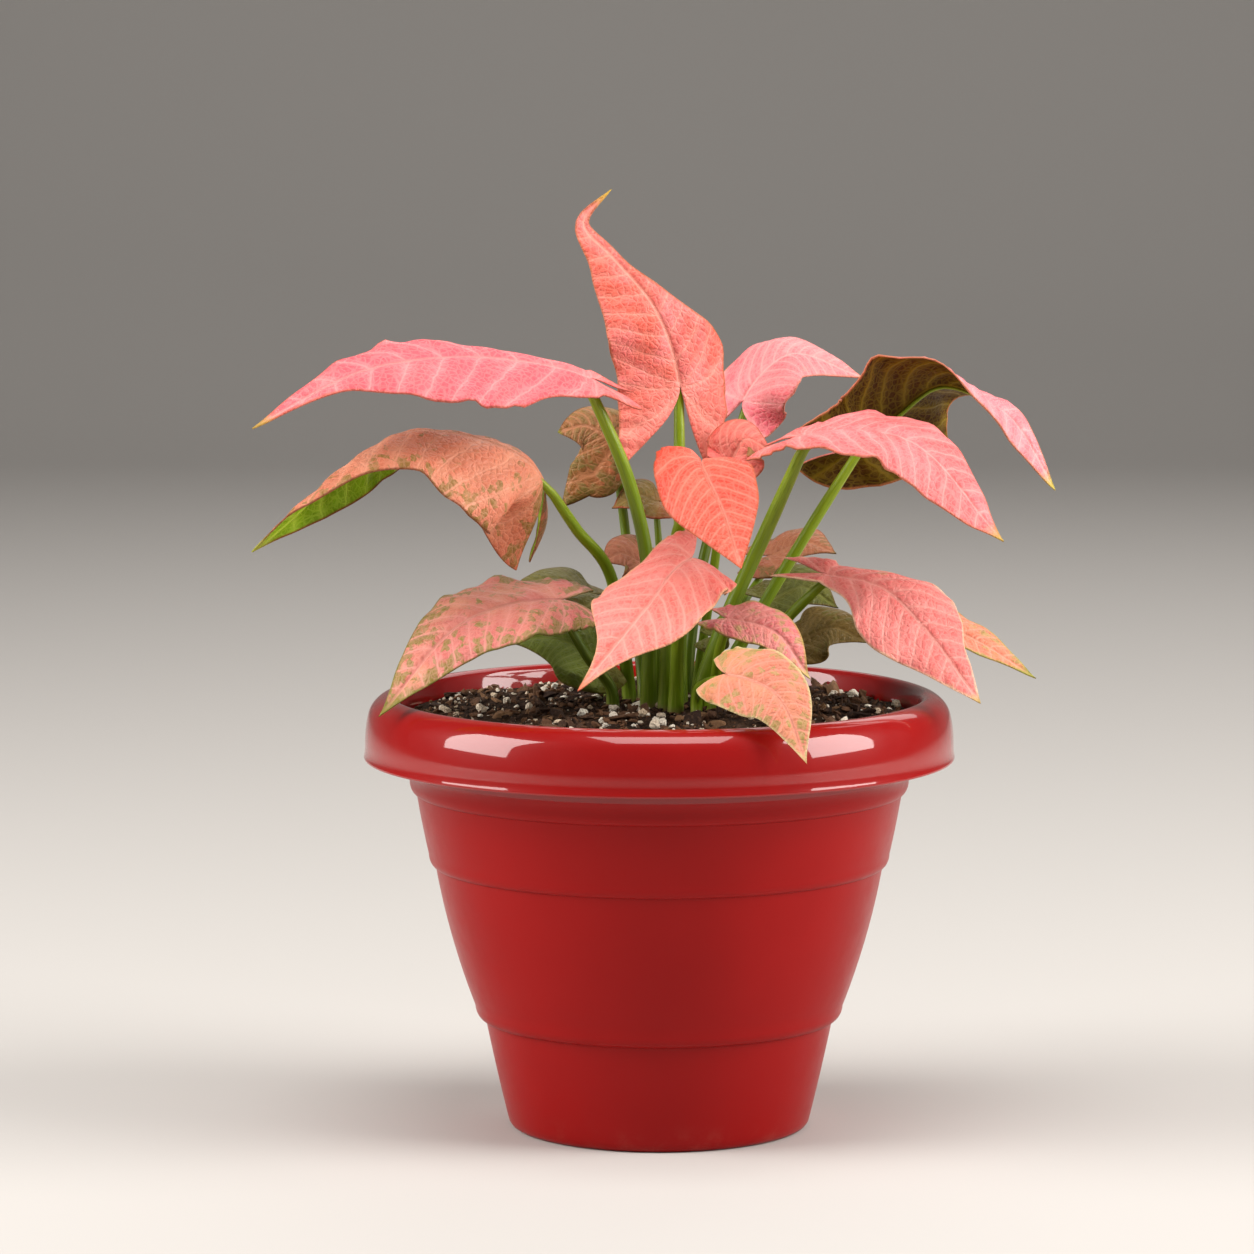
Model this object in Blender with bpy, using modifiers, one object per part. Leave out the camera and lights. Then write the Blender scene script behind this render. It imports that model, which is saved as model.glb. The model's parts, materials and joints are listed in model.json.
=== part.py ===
"""Potted arrowhead vine: a stepped, round-rimmed nursery pot full of bark mix, with a clump of
arrow-shaped leaves on long stalks.

Origin: centre of the pot's flat foot. +Z up, -Y towards the viewer, +X to the viewer's right.
Lengths in the tables are millimetres and angles are degrees.
"""

import math

import bmesh
import bpy
import numpy as np
from mathutils import Vector

MM = 0.001

# ---------------------------------------------------------------- pot and soil
POT_SEGMENTS = 56
POT_MOUTH_R = 76.0  # a 6 inch pot
POT_HEIGHT = 127.6
POT_WALL = 2.4
FLOOR_THICK = 3.0
DRAIN_HOLES = 6
DRAIN_HOLE_D = 8.5
DRAIN_RING_R = 28.0
SOIL_GAP = 0.5
SOIL_EDGE_Z = 122.6
SOIL_CROWN_Z = 125.6

# the wall's tiers from the foot up: bottom radius and height, top radius and height, bulge
TIERS = ((44.5, 3.0, 51.0, 32.0, 0.3), (54.0, 36.0, 65.5, 77.5, 2.2), (67.5, 81.0, 71.0, 99.0, 0.3))
# the rolled rim, from the mouth over and down to its hem, then back up underneath
RIM = ((76.0, 126.0), (77.5, 127.4), (79.0, POT_HEIGHT), (82.0, 126.5), (84.5, 123.8), (85.5, 120.0),
       (86.0, 115.5), (86.0, 111.0), (86.5, 109.0), (85.0, 109.0), (84.0, 110.5), (83.5, 115.5),
       (82.5, 121.0), (80.5, 123.5), (78.5, 122.5), (77.5, 118.5), (75.5, 106.0), (73.0, 102.5))

# ---------------------------------------------------------------- plant
BLADE_THICK = 0.8
BLADE_GAP = 2.0  # between one blade and the next behind it
STALK_SIDES = 8
STALK_CLEARANCE = 0.3
STALK_GAP = 0.8  # between one stalk and anything it passes
SHOULDER = 0.9  # width at the junction over the half width

LEAF_COLOURS = {  # linear base colour, roughness
    "pink": ((0.82, 0.25, 0.25), 0.45),
    "coral": ((0.80, 0.19, 0.14), 0.45),
    "dusky": ((0.50, 0.19, 0.12), 0.50),
    "mottled": ((0.52, 0.24, 0.16), 0.50),
    "cream": ((0.68, 0.44, 0.26), 0.50),
    "green": ((0.10, 0.15, 0.02), 0.45),
}

# The leaves, from the front of the plant to the back.
# midrib: where its line passes, in whole mm: between the lobe tips, junction, half way, leaf tip.
# Its middle number is depth behind the junction. lean: how far the stalk leans to the viewer, in
# degrees, which sets the junction's own depth.
# left_w, right_w: half widths in mm, where one margin isn't the other's mirror image: at the lobe
# tip, at the junction, and 1/8, 1/4, 1/2 and 3/4 of the way from there to the leaf tip.
# face: the way the upper side looks, at the junction and at the tip.
# left, right: how far that half is lifted at the midrib, and at the margin, in degrees.
# short: how far the stalk stops from the junction where it comes up between the lobes.
# taper: how drawn out the leaf tip is. soil: where the stalk leaves the soil. bend: points the stalk bows through on its way up.
LEAVES = {
    "front_right": dict(
        midrib=((13, 6, 141), (19, 0, 142), (32, -8, 138), (41, -17, 119)), half_width=11,
        spread=0.5, widest=0.25, face=((-1, -8, 6), (-1, -8, 4)), left=(5, -15), right=(10, -20),
        colour="cream", lean=70, soil=(11, -25), bend=((13, -44, 136),), stalk=1.5),
    "centre": dict(
        midrib=((14, 10, 199), (12, 0, 199), (18, -16, 186), (23, -26, 171)), half_width=18,
        spread=0.8, left_w=(9, 11, 12, 13, 11, 6), right_w=(14, 14, 14, 15, 13, 7), widest=0.15, face=((0, -8, 6), (0, -9, 3)), left=(15, -15), right=(15, -30),
        colour="coral", lean=20, soil=(2, -11), bend=((4, -16, 170),), stalk=2.2),
    "front": dict(
        midrib=((16, 6, 171), (9, 0, 171), (-4, -14, 158), (-23, -26, 136)), half_width=20,
        spread=0.6, left_w=(12, 16, 17, 17, 14, 5), right_w=(12, 11, 11, 12, 16, 4), widest=0.2, face=((-2, -8, 6), (-3, -8, 4)), left=(10, -10), right=(0, -15),
        colour="pink", lean=20, soil=(5, -19), bend=((6, -26, 152),), stalk=2.1),
    "small_right": dict(
        midrib=((13, 4, 153), (20, 0, 153), (33, -6, 150), (43, -12, 137)), half_width=9,
        spread=0.5, widest=0.2, face=((0, -5, 9), (0, -6, 6)), left=(5, -10), right=(15, -10),
        colour="pink", lean=25, soil=(16, -17), bend=((17, -24, 142),), stalk=1.6),
    "small_green": dict(
        midrib=((11, 2, 144), (16, 0, 145), (21, -2, 148), (25, -4, 144)), half_width=7,
        spread=0.5, widest=0.2, face=((0, -6, 8), (0, -6, 6)), left=(10, -20), right=(10, -20),
        colour="green", lean=-15, soil=(20, -10), bend=(), stalk=1.2),
    "right": dict(
        midrib=((28, 5, 199), (42, 0, 205), (69, -7, 205), (98, -15, 176)), half_width=24,
        spread=0.4, right_w=(10, 14, 16, 18, 19, 12), widest=0.2, face=((0, -2, 10), (2, -4, 8)), left=(5, -20), right=(20, -25),
        colour="pink", lean=10, soil=(13, -8), bend=((21, -10, 153), (31, -15, 177)), stalk=2.4),
    "lower_right": dict(
        midrib=((34, 5, 165), (49, 0, 164), (64, -6, 161), (76, -12, 150), (92, -19, 129)), half_width=20,
        spread=0.4, left_w=(8, 9, 9, 11, 17, 7), right_w=(6, 5, 9, 15, 17, 9), widest=0.25, face=((-1, -5, 9), (0, -6, 7)), left=(0, -35), right=(20, -25),
        colour="pink", lean=15, soil=(25, -4), bend=((35, -8, 148),), stalk=1.9),
    "upper_left": dict(
        midrib=((-7, 9, 214), (-20, 0, 221), (-56, -15, 228), (-84, -30, 225), (-114, -46, 210)), half_width=22,
        spread=0.4, left_w=(6, 10, 14, 22, 20, 5), right_w=(4, 4, 5, 6, 14, 7), widest=0.35, face=((0, -4, 10), (0, -4, 10)), left=(0, -30), right=(20, -20),
        colour="pink", lean=5, soil=(-3, -6), bend=((-3, -7, 163), (-9, -9, 191)), stalk=2.3),
    "mid_left": dict(
        midrib=((-38, 6, 166), (-34, 0, 193), (-68, -8, 207), (-116, -18, 173)), half_width=27,
        spread=0.2, left_w=(5, 27, 29, 28, 18, 12), widest=0.3, face=((6, -4, 8), (-2, 5, 8)), left=(-10, -65), right=(-15, -60),
        colour="dusky", lean=20, soil=(-9, 4), bend=((-14, -3, 162), (-24, -12, 177)), stalk=1.9, short=4.5),
    "lower_left": dict(
        midrib=((-17, 4, 155), (-30, 0, 157), (-54, -12, 153), (-80, -24, 126)), half_width=19,
        spread=0.5, widest=0.25, face=((-1, -4, 9), (-2, -5, 7)), left=(15, -25), right=(5, -20),
        colour="mottled", lean=10, soil=(-14, -11), bend=((-21, -13, 140),), stalk=1.6),
    "centre_back": dict(
        midrib=((17, -2, 194), (20, 0, 195), (25, 0, 202), (33, 2, 198)), half_width=10,
        spread=0.5, widest=0.2, face=((0, -7, 7), (0, -7, 7)), left=(10, -20), right=(10, -20),
        colour="dusky", lean=0, soil=(11, 1), bend=((16, 0, 165),), stalk=1.6),
    "top": dict(
        midrib=((6, -7, 192), (6, 0, 217), (-2, -3, 241), (-14, -2, 255), (-22, 0, 264), (-14, 4, 274)), half_width=19,
        spread=0.7, left_w=(18, 19, 18, 18, 13, 4), right_w=(10, 15, 17, 11, 3, 2), widest=0.2, taper=2.6, face=((2, -10, 1), (4, -9, 0)), left=(10, -10), right=(-10, -25),
        colour="coral", lean=-5, soil=(6, -1), bend=((6, 2, 170),), stalk=2.1),
    "upper_right": dict(
        midrib=((40, -3, 197), (59, 0, 200), (68, 1, 207), (82, 2, 217), (101, 0, 209), (116, 0, 186)), half_width=32,
        spread=0.5, left_w=(6, 17, 22, 28, 15, 5), right_w=(6, 17, 19, 23, 13, 8), widest=0.2, face=((0, 8, 6), (4, -8, 5)), left=(10, -25), right=(20, -10),
        colour="pink", lean=-5, soil=(18, 6), bend=((29, 8, 150), (46, 11, 178)), stalk=2.0),
    "green_left": dict(
        midrib=((-10, 2, 136), (-17, 0, 138), (-31, -2, 144), (-44, -4, 143)), half_width=15,
        spread=0.5, widest=0.25, face=((0, -6, 8), (0, -6, 8)), left=(5, -20), right=(5, -20),
        colour="green", lean=-10, soil=(-14, -1), bend=(), stalk=1.4),
    "far_right": dict(
        midrib=((62, 2, 151), (71, 0, 150), (92, -6, 143), (110, -12, 132)), half_width=11,
        spread=0.5, widest=0.2, face=((0, -3, 10), (0, -4, 9)), left=(10, -10), right=(10, 0),
        colour="pink", lean=-15, soil=(31, 6), bend=((53, 10, 144),), stalk=1.5),
    "shaded_centre_left": dict(
        midrib=((3, 2, 163), (-5, 0, 165), (-11, -2, 168), (-17, -4, 165)), half_width=10,
        spread=0.5, widest=0.2, face=((0, -6, 8), (0, -6, 8)), left=(10, -20), right=(10, -20),
        colour="dusky", lean=-10, soil=(0, 4), bend=(), stalk=1.4),
    "shaded_right_low": dict(
        midrib=((32, 2, 141), (41, 0, 142), (51, -2, 146), (61, -6, 142)), half_width=11,
        spread=0.5, widest=0.2, face=((0, -6, 8), (0, -6, 8)), left=(10, -20), right=(10, -20),
        colour="green", lean=15, soil=(28, 15), bend=(), stalk=1.3),
    "shaded_right_mid": dict(
        midrib=((24, 2, 150), (33, 0, 152), (42, -2, 156), (53, -6, 150)), half_width=11,
        spread=0.5, widest=0.2, face=((0, -6, 8), (0, -6, 8)), left=(10, -20), right=(10, -20),
        colour="green", lean=-10, soil=(21, 14), bend=(), stalk=1.3),
    "shaded_left": dict(
        midrib=((-10, 4, 151), (-20, 0, 154), (-31, -2, 159), (-43, -6, 157)), half_width=12,
        spread=0.5, widest=0.2, face=((-1, -3, 10), (-1, -3, 10)), left=(10, -20), right=(10, -20),
        colour="green", lean=-10, soil=(-15, 9), bend=(), stalk=1.4),
    "back_left": dict(
        midrib=((-8, 2, 198), (-14, 0, 200), (-22, 2, 204), (-30, 2, 202)), half_width=19,
        spread=0.6, left_w=(10, 18, 24, 17, 11, 5), right_w=(8, 15, 15, 14, 10, 5), widest=0.2, face=((-2, -9, 3), (-2, -9, 3)), left=(0, -15), right=(-40, -60),
        colour="dusky", lean=-10, soil=(-5, 10), bend=((-10, 27, 172),), stalk=1.6),
    "shaded_centre": dict(
        midrib=((5, 2, 180), (-1, 0, 182), (-5, -1, 184), (-14, -2, 180)), half_width=9,
        spread=0.5, widest=0.2, face=((0, -5, 9), (0, -5, 9)), left=(10, -20), right=(10, -20),
        colour="green", lean=-5, soil=(2, 17), bend=(), stalk=1.3),
    "shaded_right_high": dict(
        midrib=((24, 2, 160), (34, 0, 163), (44, -2, 167), (53, -6, 164)), half_width=13,
        spread=0.5, widest=0.2, face=((0, -4, 9), (0, -4, 9)), left=(10, -20), right=(10, -20),
        colour="dusky", lean=-15, soil=(15, 19), bend=(), stalk=1.4),
    "back_right": dict(
        midrib=((22, -4, 200), (25, 0, 211), (38, 2, 224), (61, 4, 217)), half_width=18,
        spread=0.5, widest=0.25, face=((-1, -3, 9), (0, -4, 9)), left=(10, -20), right=(15, -25),
        colour="pink", lean=-15, soil=(8, 12), bend=((13, 20, 165),), stalk=1.8),
}


# ---------------------------------------------------------------- geometry rules
def smooth_through(stations, values, t):
    """Cubic Hermite curve through the values."""
    k, v = np.asarray(stations, float), np.asarray(values, float)
    h = np.diff(k)
    s = np.diff(v) / h
    m = np.empty_like(v)
    m[0], m[-1] = s[0], s[-1]
    m[1:-1] = (s[:-1] * h[1:] + s[1:] * h[:-1]) / (h[1:] + h[:-1])
    i = np.clip(np.searchsorted(k, t, side="right") - 1, 0, len(h) - 1)
    u = (t - k[i]) / h[i]
    return ((2 * u**3 - 3 * u**2 + 1) * v[i] + (u**3 - 2 * u**2 + u) * h[i] * m[i]
            + (-2 * u**3 + 3 * u**2) * v[i + 1] + (u**3 - u**2) * h[i] * m[i + 1])


def unit(v):
    return v / np.maximum(np.linalg.norm(v, axis=-1, keepdims=True), 1e-9)


def junction_depth(spec):
    """The stalk's foot, and how far its lean carries it over its rise."""
    rise = spec["midrib"][1][2] - SOIL_CROWN_Z
    return spec["soil"][1] - rise * math.tan(math.radians(spec["lean"]))


class Blade:
    """An arrowhead outline bent along its midrib and across each half.

    t runs from -1 (lobe tips) through 0 (junction with the stalk) to 1 (leaf tip).
    """

    def __init__(self, s, back=0.0):
        self.s = s
        line = np.array(s["midrib"], float) + (0.0, junction_depth(s) + back, 0.0)
        step = np.linalg.norm(np.diff(line, axis=0), axis=1)
        self.lobe, self.length = max(step[0], 4.0), step[1:].sum()
        stations = (-self.lobe, 0.0, *np.cumsum(step[1:]))
        self.tau = np.concatenate([np.linspace(-1, 0, 13)[:-1], np.linspace(0, 1, 29)])
        run = np.where(self.tau < 0, self.tau * self.lobe, self.tau * self.length)
        self.path = np.stack([smooth_through(stations, line[:, k], run) for k in range(3)], -1)
        self.fwd = unit(np.gradient(self.path, run, axis=0))
        u = np.clip(self.tau, 0, 1)[:, None]
        face = unit(unit(np.array(s["face"][0], float)) * (1 - u) + unit(np.array(s["face"][1], float)) * u)
        self.up = unit(face - self.fwd * (face * self.fwd).sum(-1, keepdims=True))
        self.right = np.cross(self.fwd, self.up)

    def half(self, side):
        read = self.s.get("left_w" if side < 0 else "right_w")
        return max(read[1:]) if read else self.s["half_width"]

    def outer(self, t, side):
        u, q = np.clip(t, 0, 1), np.clip(-t, 0, 1)
        read = self.s.get("left_w" if side < 0 else "right_w")
        if read:
            ahead = smooth_through((0, 0.125, 0.25, 0.5, 0.75, 1), (*read[1:], 0.0), u)
            back = read[0] + (read[1] - read[0]) * (1 - q**1.7) ** 0.8
            return np.maximum(np.where(t < 0, back, ahead), 0.0)
        w, pm, st = self.half(side), self.s["widest"], self.s["spread"]
        v = np.clip((u - pm) / (1 - pm), 0, 1)
        front = np.where(u < pm, 1 - (1 - SHOULDER) * ((pm - u) / pm) ** 2, (1 - v**1.7) ** self.s.get("taper", 1.3))
        back = st + (SHOULDER - st) * (1 - q**1.7) ** 0.8
        return w * np.where(t < 0, back, front)

    def inner(self, t, side):
        read = self.s.get("left_w" if side < 0 else "right_w")
        reach = read[0] if read else self.half(side) * self.s["spread"]
        return reach * np.clip(-t, 0, 1) ** 1.5

    def point(self, t, across, side):
        """side is -1 for the leaf's left half and 1 for its right."""
        def at(a):
            return np.stack([np.interp(t, self.tau, a[:, k]) for k in range(3)], -1)

        c, r, n = at(self.path), unit(at(self.right)), unit(at(self.up))
        lift, margin = self.s["left"] if side < 0 else self.s["right"]
        a = np.radians(lift) * (1 - 0.7 * np.clip(t, 0, 1))
        e = np.radians(margin) * (1 - 0.3 * np.clip(t, 0, 1))
        w = np.where(t >= 0, np.maximum(self.outer(np.maximum(t, 0), side), 0.35 * self.half(side)),
                     self.half(side) * SHOULDER)
        k = (e - a) / w
        k = np.where(np.abs(k) < 1e-6, 1e-6, k)
        x = (np.sin(a + k * across) - np.sin(a)) / k
        z = (np.cos(a) - np.cos(a + k * across)) / k
        return c + r * (side * x)[..., None] + n * z[..., None]

    def sheet(self, rows, cols):
        """Points all over both halves."""
        found = []
        for side in (-1, 1):
            t, v = (g.ravel() for g in np.meshgrid(np.linspace(-1, 1, rows), np.linspace(0, 1, cols)))
            inner = np.where(t < 0, self.inner(t, side), 0.0)
            found.append(self.point(t, inner + (self.outer(t, side) - inner) * v, side))
        return np.concatenate(found)


def depth_map(points, cell=2.0):
    """The nearest and furthest Y over each square cell of the XZ plane."""
    near, far = {}, {}
    for (i, k), y in zip(np.round(points[:, [0, 2]] / cell).astype(int), points[:, 1]):
        near[i, k] = min(near.get((i, k), y), y)
        far[i, k] = max(far.get((i, k), y), y)
    return near, far


def layered():
    """Each blade, from front to back, set back just far enough to clear those in front of it."""
    done, placed = {}, {}
    for name, spec in LEAVES.items():
        near, far = depth_map(Blade(spec).sheet(110, 34))
        back = 0.0
        for other in placed.values():
            shared = other.keys() & near.keys()
            if shared:
                back = max(back, max(other[c] - near[c] for c in shared) + BLADE_GAP)
        done[name] = back
        placed[name] = {c: y + back for c, y in far.items()}
    return done


def stalk_radii(spec):
    r = spec["stalk"]
    return (r, 0.85 * r, 0.68 * r)


def stalk_routes(blades):
    """Each stalk rises from the soil to the underside of its blade's junction, bowing through its
    bends. Stalks are then eased sideways, a little at a time, until each clears what it passes."""
    lines = {}
    for name, spec in LEAVES.items():
        b = blades[name]
        top = b.path[12] - b.up[12] * (0.5 * BLADE_THICK + 0.5 + spec["stalk"] * 0.7) - b.fwd[12]
        if "short" in spec:  # comes up between the lobes, and stops short of them
            towards = np.array(spec["bend"][-1]) - b.path[12]
            top = b.path[12] + unit(towards) * spec["short"]
        x, y = spec["soil"]
        points = [(x, y, 118.0), (x, y, 130.0), *spec["bend"], tuple(top)]
        if not spec["bend"]:
            points.insert(2, (x * 0.6 + top[0] * 0.4, y * 0.6 + top[1] * 0.4, 66.0 + top[2] * 0.5))
        lines[name] = np.array(points, float)
    t = np.linspace(0, 1, 41)
    shape = {}
    for name, line in lines.items():
        k = np.linspace(0, 1, len(line))
        shape[name] = np.stack([smooth_through(k, row, t) for row in np.eye(len(line))], -1)
    names = list(lines)
    radius = {n: np.interp(t, [0, 0.8, 1], stalk_radii(LEAVES[n])) for n in names}
    sheets = {n: b.sheet(36, 9) for n, b in blades.items()}
    for _ in range(70):
        ease = {n: np.zeros_like(lines[n]) for n in names}
        run = {n: shape[n] @ lines[n] for n in names}
        moved = False
        for i, a in enumerate(names):
            for b in names[i + 1:]:
                gap = run[a][:, None] - run[b][None]
                far = np.linalg.norm(gap, axis=-1)
                short = radius[a][:, None] + radius[b][None] + STALK_GAP - far
                u, v = np.unravel_index(np.argmax(short), short.shape)
                if short[u, v] > 0:
                    away = gap[u, v] * (1, 1, 0) + (0, 1e-3, 0)
                    away = away / np.linalg.norm(away) * short[u, v] * 0.5
                    ease[a] += shape[a][u][:, None] * away
                    ease[b] -= shape[b][v][:, None] * away
                    moved = True
            for b in names:
                own = slice(0, 37) if a == b else slice(0, 41)
                gap = run[a][own][:, None] - sheets[b][None]
                far = np.linalg.norm(gap, axis=-1)
                short = radius[a][own][:, None] + 0.5 * BLADE_THICK + STALK_GAP - far
                u, v = np.unravel_index(np.argmax(short), short.shape)
                if short[u, v] > 0:
                    away = gap[u, v] * (0.3, 1, 0) + (0, 1e-3, 0)
                    away = away / np.linalg.norm(away) * short[u, v] * 0.5
                    ease[a] += shape[a][u][:, None] * away
                    moved = True
        for n in names:
            ease[n][[0, -1]] = 0
            lines[n] += ease[n]
        if not moved:
            break
    return lines


def tier(r0, z0, r1, z1, bulge, points=4):
    u = np.linspace(0, 1, points)
    return list(zip(r0 + (r1 - r0) * u + bulge * 4 * u * (1 - u) * 0.5, z0 + (z1 - z0) * u))


def wall():
    """The wall's outer face, from the foot up."""
    return [p for t in TIERS for p in tier(*t)]


def pot_profile():
    inside = [(r - POT_WALL, z) for r, z in wall() if z > 5]
    mouth = [(73.0, 106.0), (POT_MOUTH_R - 1.5, 119.0)]
    floor = [(0.0, FLOOR_THICK), (37.5, FLOOR_THICK)]
    foot = [(43.5, 1.0), (41.5, 0.0), (0.0, 0.0)]
    return floor + inside + mouth + list(RIM) + wall()[::-1] + foot


def soil_profile():
    side = [(r - POT_WALL - SOIL_GAP, z - 0.3) for r, z in wall() if z > 5][::-1]
    crown = [(0.0, SOIL_CROWN_Z), (25.0, SOIL_CROWN_Z - 0.3), (50.0, SOIL_CROWN_Z - 1.6),
             (POT_MOUTH_R - 3.0, SOIL_EDGE_Z), (POT_MOUTH_R - 3.2, 117.0), (71.5, 106.0)]
    return crown + side + [(36.5, FLOOR_THICK + 0.4), (0.0, FLOOR_THICK + 0.4)]


# ---------------------------------------------------------------- helpers
def clear_scene():
    for obj in list(bpy.data.objects):
        bpy.data.objects.remove(obj, do_unlink=True)


def material(name, colour, roughness, metallic=0.0):
    found = bpy.data.materials.get(name)
    if found:
        return found
    mat = bpy.data.materials.new(name)
    mat.use_nodes = True
    shader = mat.node_tree.nodes["Principled BSDF"]
    shader.inputs["Base Color"].default_value = (*colour, 1.0)
    shader.inputs["Roughness"].default_value = roughness
    shader.inputs["Metallic"].default_value = metallic
    return mat


def link(name, data, mat):
    obj = bpy.data.objects.new(name, data)
    bpy.context.scene.collection.objects.link(obj)
    data.materials.append(mat)
    return obj


def turned(name, profile, mat, steps):
    """A profile at +X, running down its outer side, swept round Z."""
    mesh = bpy.data.meshes.new(name)
    mesh.from_pydata([(r * MM, 0.0, z * MM) for r, z in profile],
                     [(i, i + 1) for i in range(len(profile) - 1)], [])
    obj = link(name, mesh, mat)
    screw = obj.modifiers.new("Turn", "SCREW")
    screw.axis = "Z"
    screw.angle = math.radians(360)
    screw.steps = screw.render_steps = steps
    screw.use_merge_vertices = True
    screw.merge_threshold = 0.00005
    screw.use_smooth_shade = True
    return obj


def subtract(obj, cutter, name):
    cutter.hide_render = True
    cutter.display_type = "WIRE"
    cut = obj.modifiers.new(name, "BOOLEAN")
    cut.operation = "DIFFERENCE"
    cut.solver = "EXACT"
    cut.object = cutter


def blade_object(name, blade, mat):
    """Two gridded halves welded along the midrib, then given a thickness."""
    bm = bmesh.new()
    na, nb, nc = (8, 2, 2) if blade.length > 40 else (6, 2, 2)
    for side in (-1, 1):
        made = bmesh.ops.create_grid(bm, x_segments=na + nb, y_segments=nc, size=1.0)["verts"]
        gx = np.array([v.co.x for v in made])
        gy = np.array([v.co.y for v in made])
        u = (gx + 1) / 2 * (na + nb)  # 0 at the lobe tip
        t = np.where(u < nb, u / nb - 1, (np.maximum(u - nb, 0) / na) ** 0.92)
        v = (gy + 1) / 2
        inner = np.where(t < 0, blade.inner(t, side), 0.0)
        outer = blade.outer(t, side)
        pts = blade.point(t, inner + (outer - inner) * v, side)
        for vert, p in zip(made, pts):
            vert.co = Vector(p * MM)
    bmesh.ops.remove_doubles(bm, verts=bm.verts, dist=0.00012)
    bmesh.ops.dissolve_degenerate(bm, edges=bm.edges, dist=0.00005)
    bmesh.ops.recalc_face_normals(bm, faces=bm.faces)
    mesh = bpy.data.meshes.new(name)
    bm.to_mesh(mesh)
    bm.free()
    mesh.shade_smooth()
    obj = link(name, mesh, mat)
    shell = obj.modifiers.new("Thickness", "SOLIDIFY")
    shell.thickness = BLADE_THICK * MM
    shell.offset = 0.0
    return obj


def stalk_curve(name, route, radii, mat, grow=0.0, extend=0.0, steps=9):
    """A tapering tube with filled caps along a smooth curve through the route."""
    k = np.linspace(0, 1, len(route))
    t = np.linspace(0, 1, steps + 1)
    pts = np.stack([smooth_through(k, route[:, i], t) for i in range(3)], -1)
    rad = np.interp(t, [0, 0.8, 1], radii) + grow
    if extend:
        pts[0] += (pts[0] - pts[1]) / np.linalg.norm(pts[0] - pts[1]) * extend
    data = bpy.data.curves.new(name, "CURVE")
    data.dimensions = "3D"
    data.bevel_depth = MM
    data.bevel_resolution = (STALK_SIDES - 4) // 2
    data.use_fill_caps = True
    data.twist_mode = "MINIMUM"
    spline = data.splines.new("POLY")
    spline.points.add(len(pts) - 1)
    for p, co, r in zip(spline.points, pts, rad):
        p.co = (*(co * MM), 1.0)
        p.radius = r
    return link(name, data, mat)


def as_mesh(obj):
    """The curve's tube as a mesh object of the same name."""
    bpy.context.view_layer.update()
    evaluated = obj.evaluated_get(bpy.context.evaluated_depsgraph_get())
    mesh = bpy.data.meshes.new_from_object(evaluated)
    bm = bmesh.new()
    bm.from_mesh(mesh)
    bmesh.ops.remove_doubles(bm, verts=bm.verts, dist=0.00001)
    bmesh.ops.recalc_face_normals(bm, faces=bm.faces)
    bm.to_mesh(mesh)
    bm.free()
    name = obj.name
    bpy.data.objects.remove(obj, do_unlink=True)
    made = bpy.data.objects.new(name, mesh)
    bpy.context.scene.collection.objects.link(made)
    return made


# ---------------------------------------------------------------- build
def build():
    clear_scene()
    pot_mat = material("pot_red", (0.50, 0.018, 0.020), 0.28)
    soil_mat = material("potting_mix", (0.035, 0.020, 0.012), 0.95)
    stalk_mat = material("stalk_green", (0.20, 0.32, 0.02), 0.42)

    pot = turned("pot", pot_profile(), pot_mat, POT_SEGMENTS)
    for i in range(DRAIN_HOLES):
        a = 2 * math.pi * (i + 0.5) / DRAIN_HOLES
        bpy.ops.mesh.primitive_cylinder_add(
            vertices=12, radius=DRAIN_HOLE_D / 2 * MM, depth=4 * FLOOR_THICK * MM,
            location=(DRAIN_RING_R * MM * math.cos(a), DRAIN_RING_R * MM * math.sin(a), 0))
        hole = bpy.context.object
        hole.name = f"drain_cutter_{i}"
        subtract(pot, hole, f"Drain {i}")

    soil = turned("potting_mix", soil_profile(), soil_mat, 40)

    blades = {name: Blade(LEAVES[name], back) for name, back in layered().items()}
    for name, blade in blades.items():
        colour = LEAVES[name]["colour"]
        blade_object("blade_" + name, blade, material("leaf_" + colour, *LEAF_COLOURS[colour]))

    for name, route in stalk_routes(blades).items():
        radii = stalk_radii(LEAVES[name])
        stalk_curve("stalk_" + name, route, radii, stalk_mat)
        socket = as_mesh(stalk_curve("socket_" + name, route, radii, stalk_mat,
                                     grow=STALK_CLEARANCE + 0.1, extend=0.4))
        subtract(soil, socket, "Socket " + name)


build()
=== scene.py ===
"""Looks of the potted arrowhead vine: fine blades, stalks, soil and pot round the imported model."""

import json
import math

import bmesh
import bpy
import numpy as np
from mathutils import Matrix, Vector, noise

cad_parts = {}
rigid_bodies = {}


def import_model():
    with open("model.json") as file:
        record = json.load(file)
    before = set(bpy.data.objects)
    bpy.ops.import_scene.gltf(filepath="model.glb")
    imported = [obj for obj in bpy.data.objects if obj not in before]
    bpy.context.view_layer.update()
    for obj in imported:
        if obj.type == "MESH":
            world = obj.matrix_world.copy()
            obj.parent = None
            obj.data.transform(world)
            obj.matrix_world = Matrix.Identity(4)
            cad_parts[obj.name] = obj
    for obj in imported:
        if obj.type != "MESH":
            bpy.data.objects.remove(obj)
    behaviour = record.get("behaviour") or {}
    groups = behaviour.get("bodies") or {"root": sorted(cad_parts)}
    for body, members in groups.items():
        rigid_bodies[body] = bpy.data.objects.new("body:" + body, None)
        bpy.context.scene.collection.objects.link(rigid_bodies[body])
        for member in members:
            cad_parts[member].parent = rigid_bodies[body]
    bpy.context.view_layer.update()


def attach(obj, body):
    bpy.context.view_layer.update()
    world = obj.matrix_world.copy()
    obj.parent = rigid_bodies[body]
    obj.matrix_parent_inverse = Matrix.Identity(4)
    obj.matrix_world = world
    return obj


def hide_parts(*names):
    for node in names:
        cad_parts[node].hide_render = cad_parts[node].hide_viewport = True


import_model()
MM = 0.001

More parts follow.
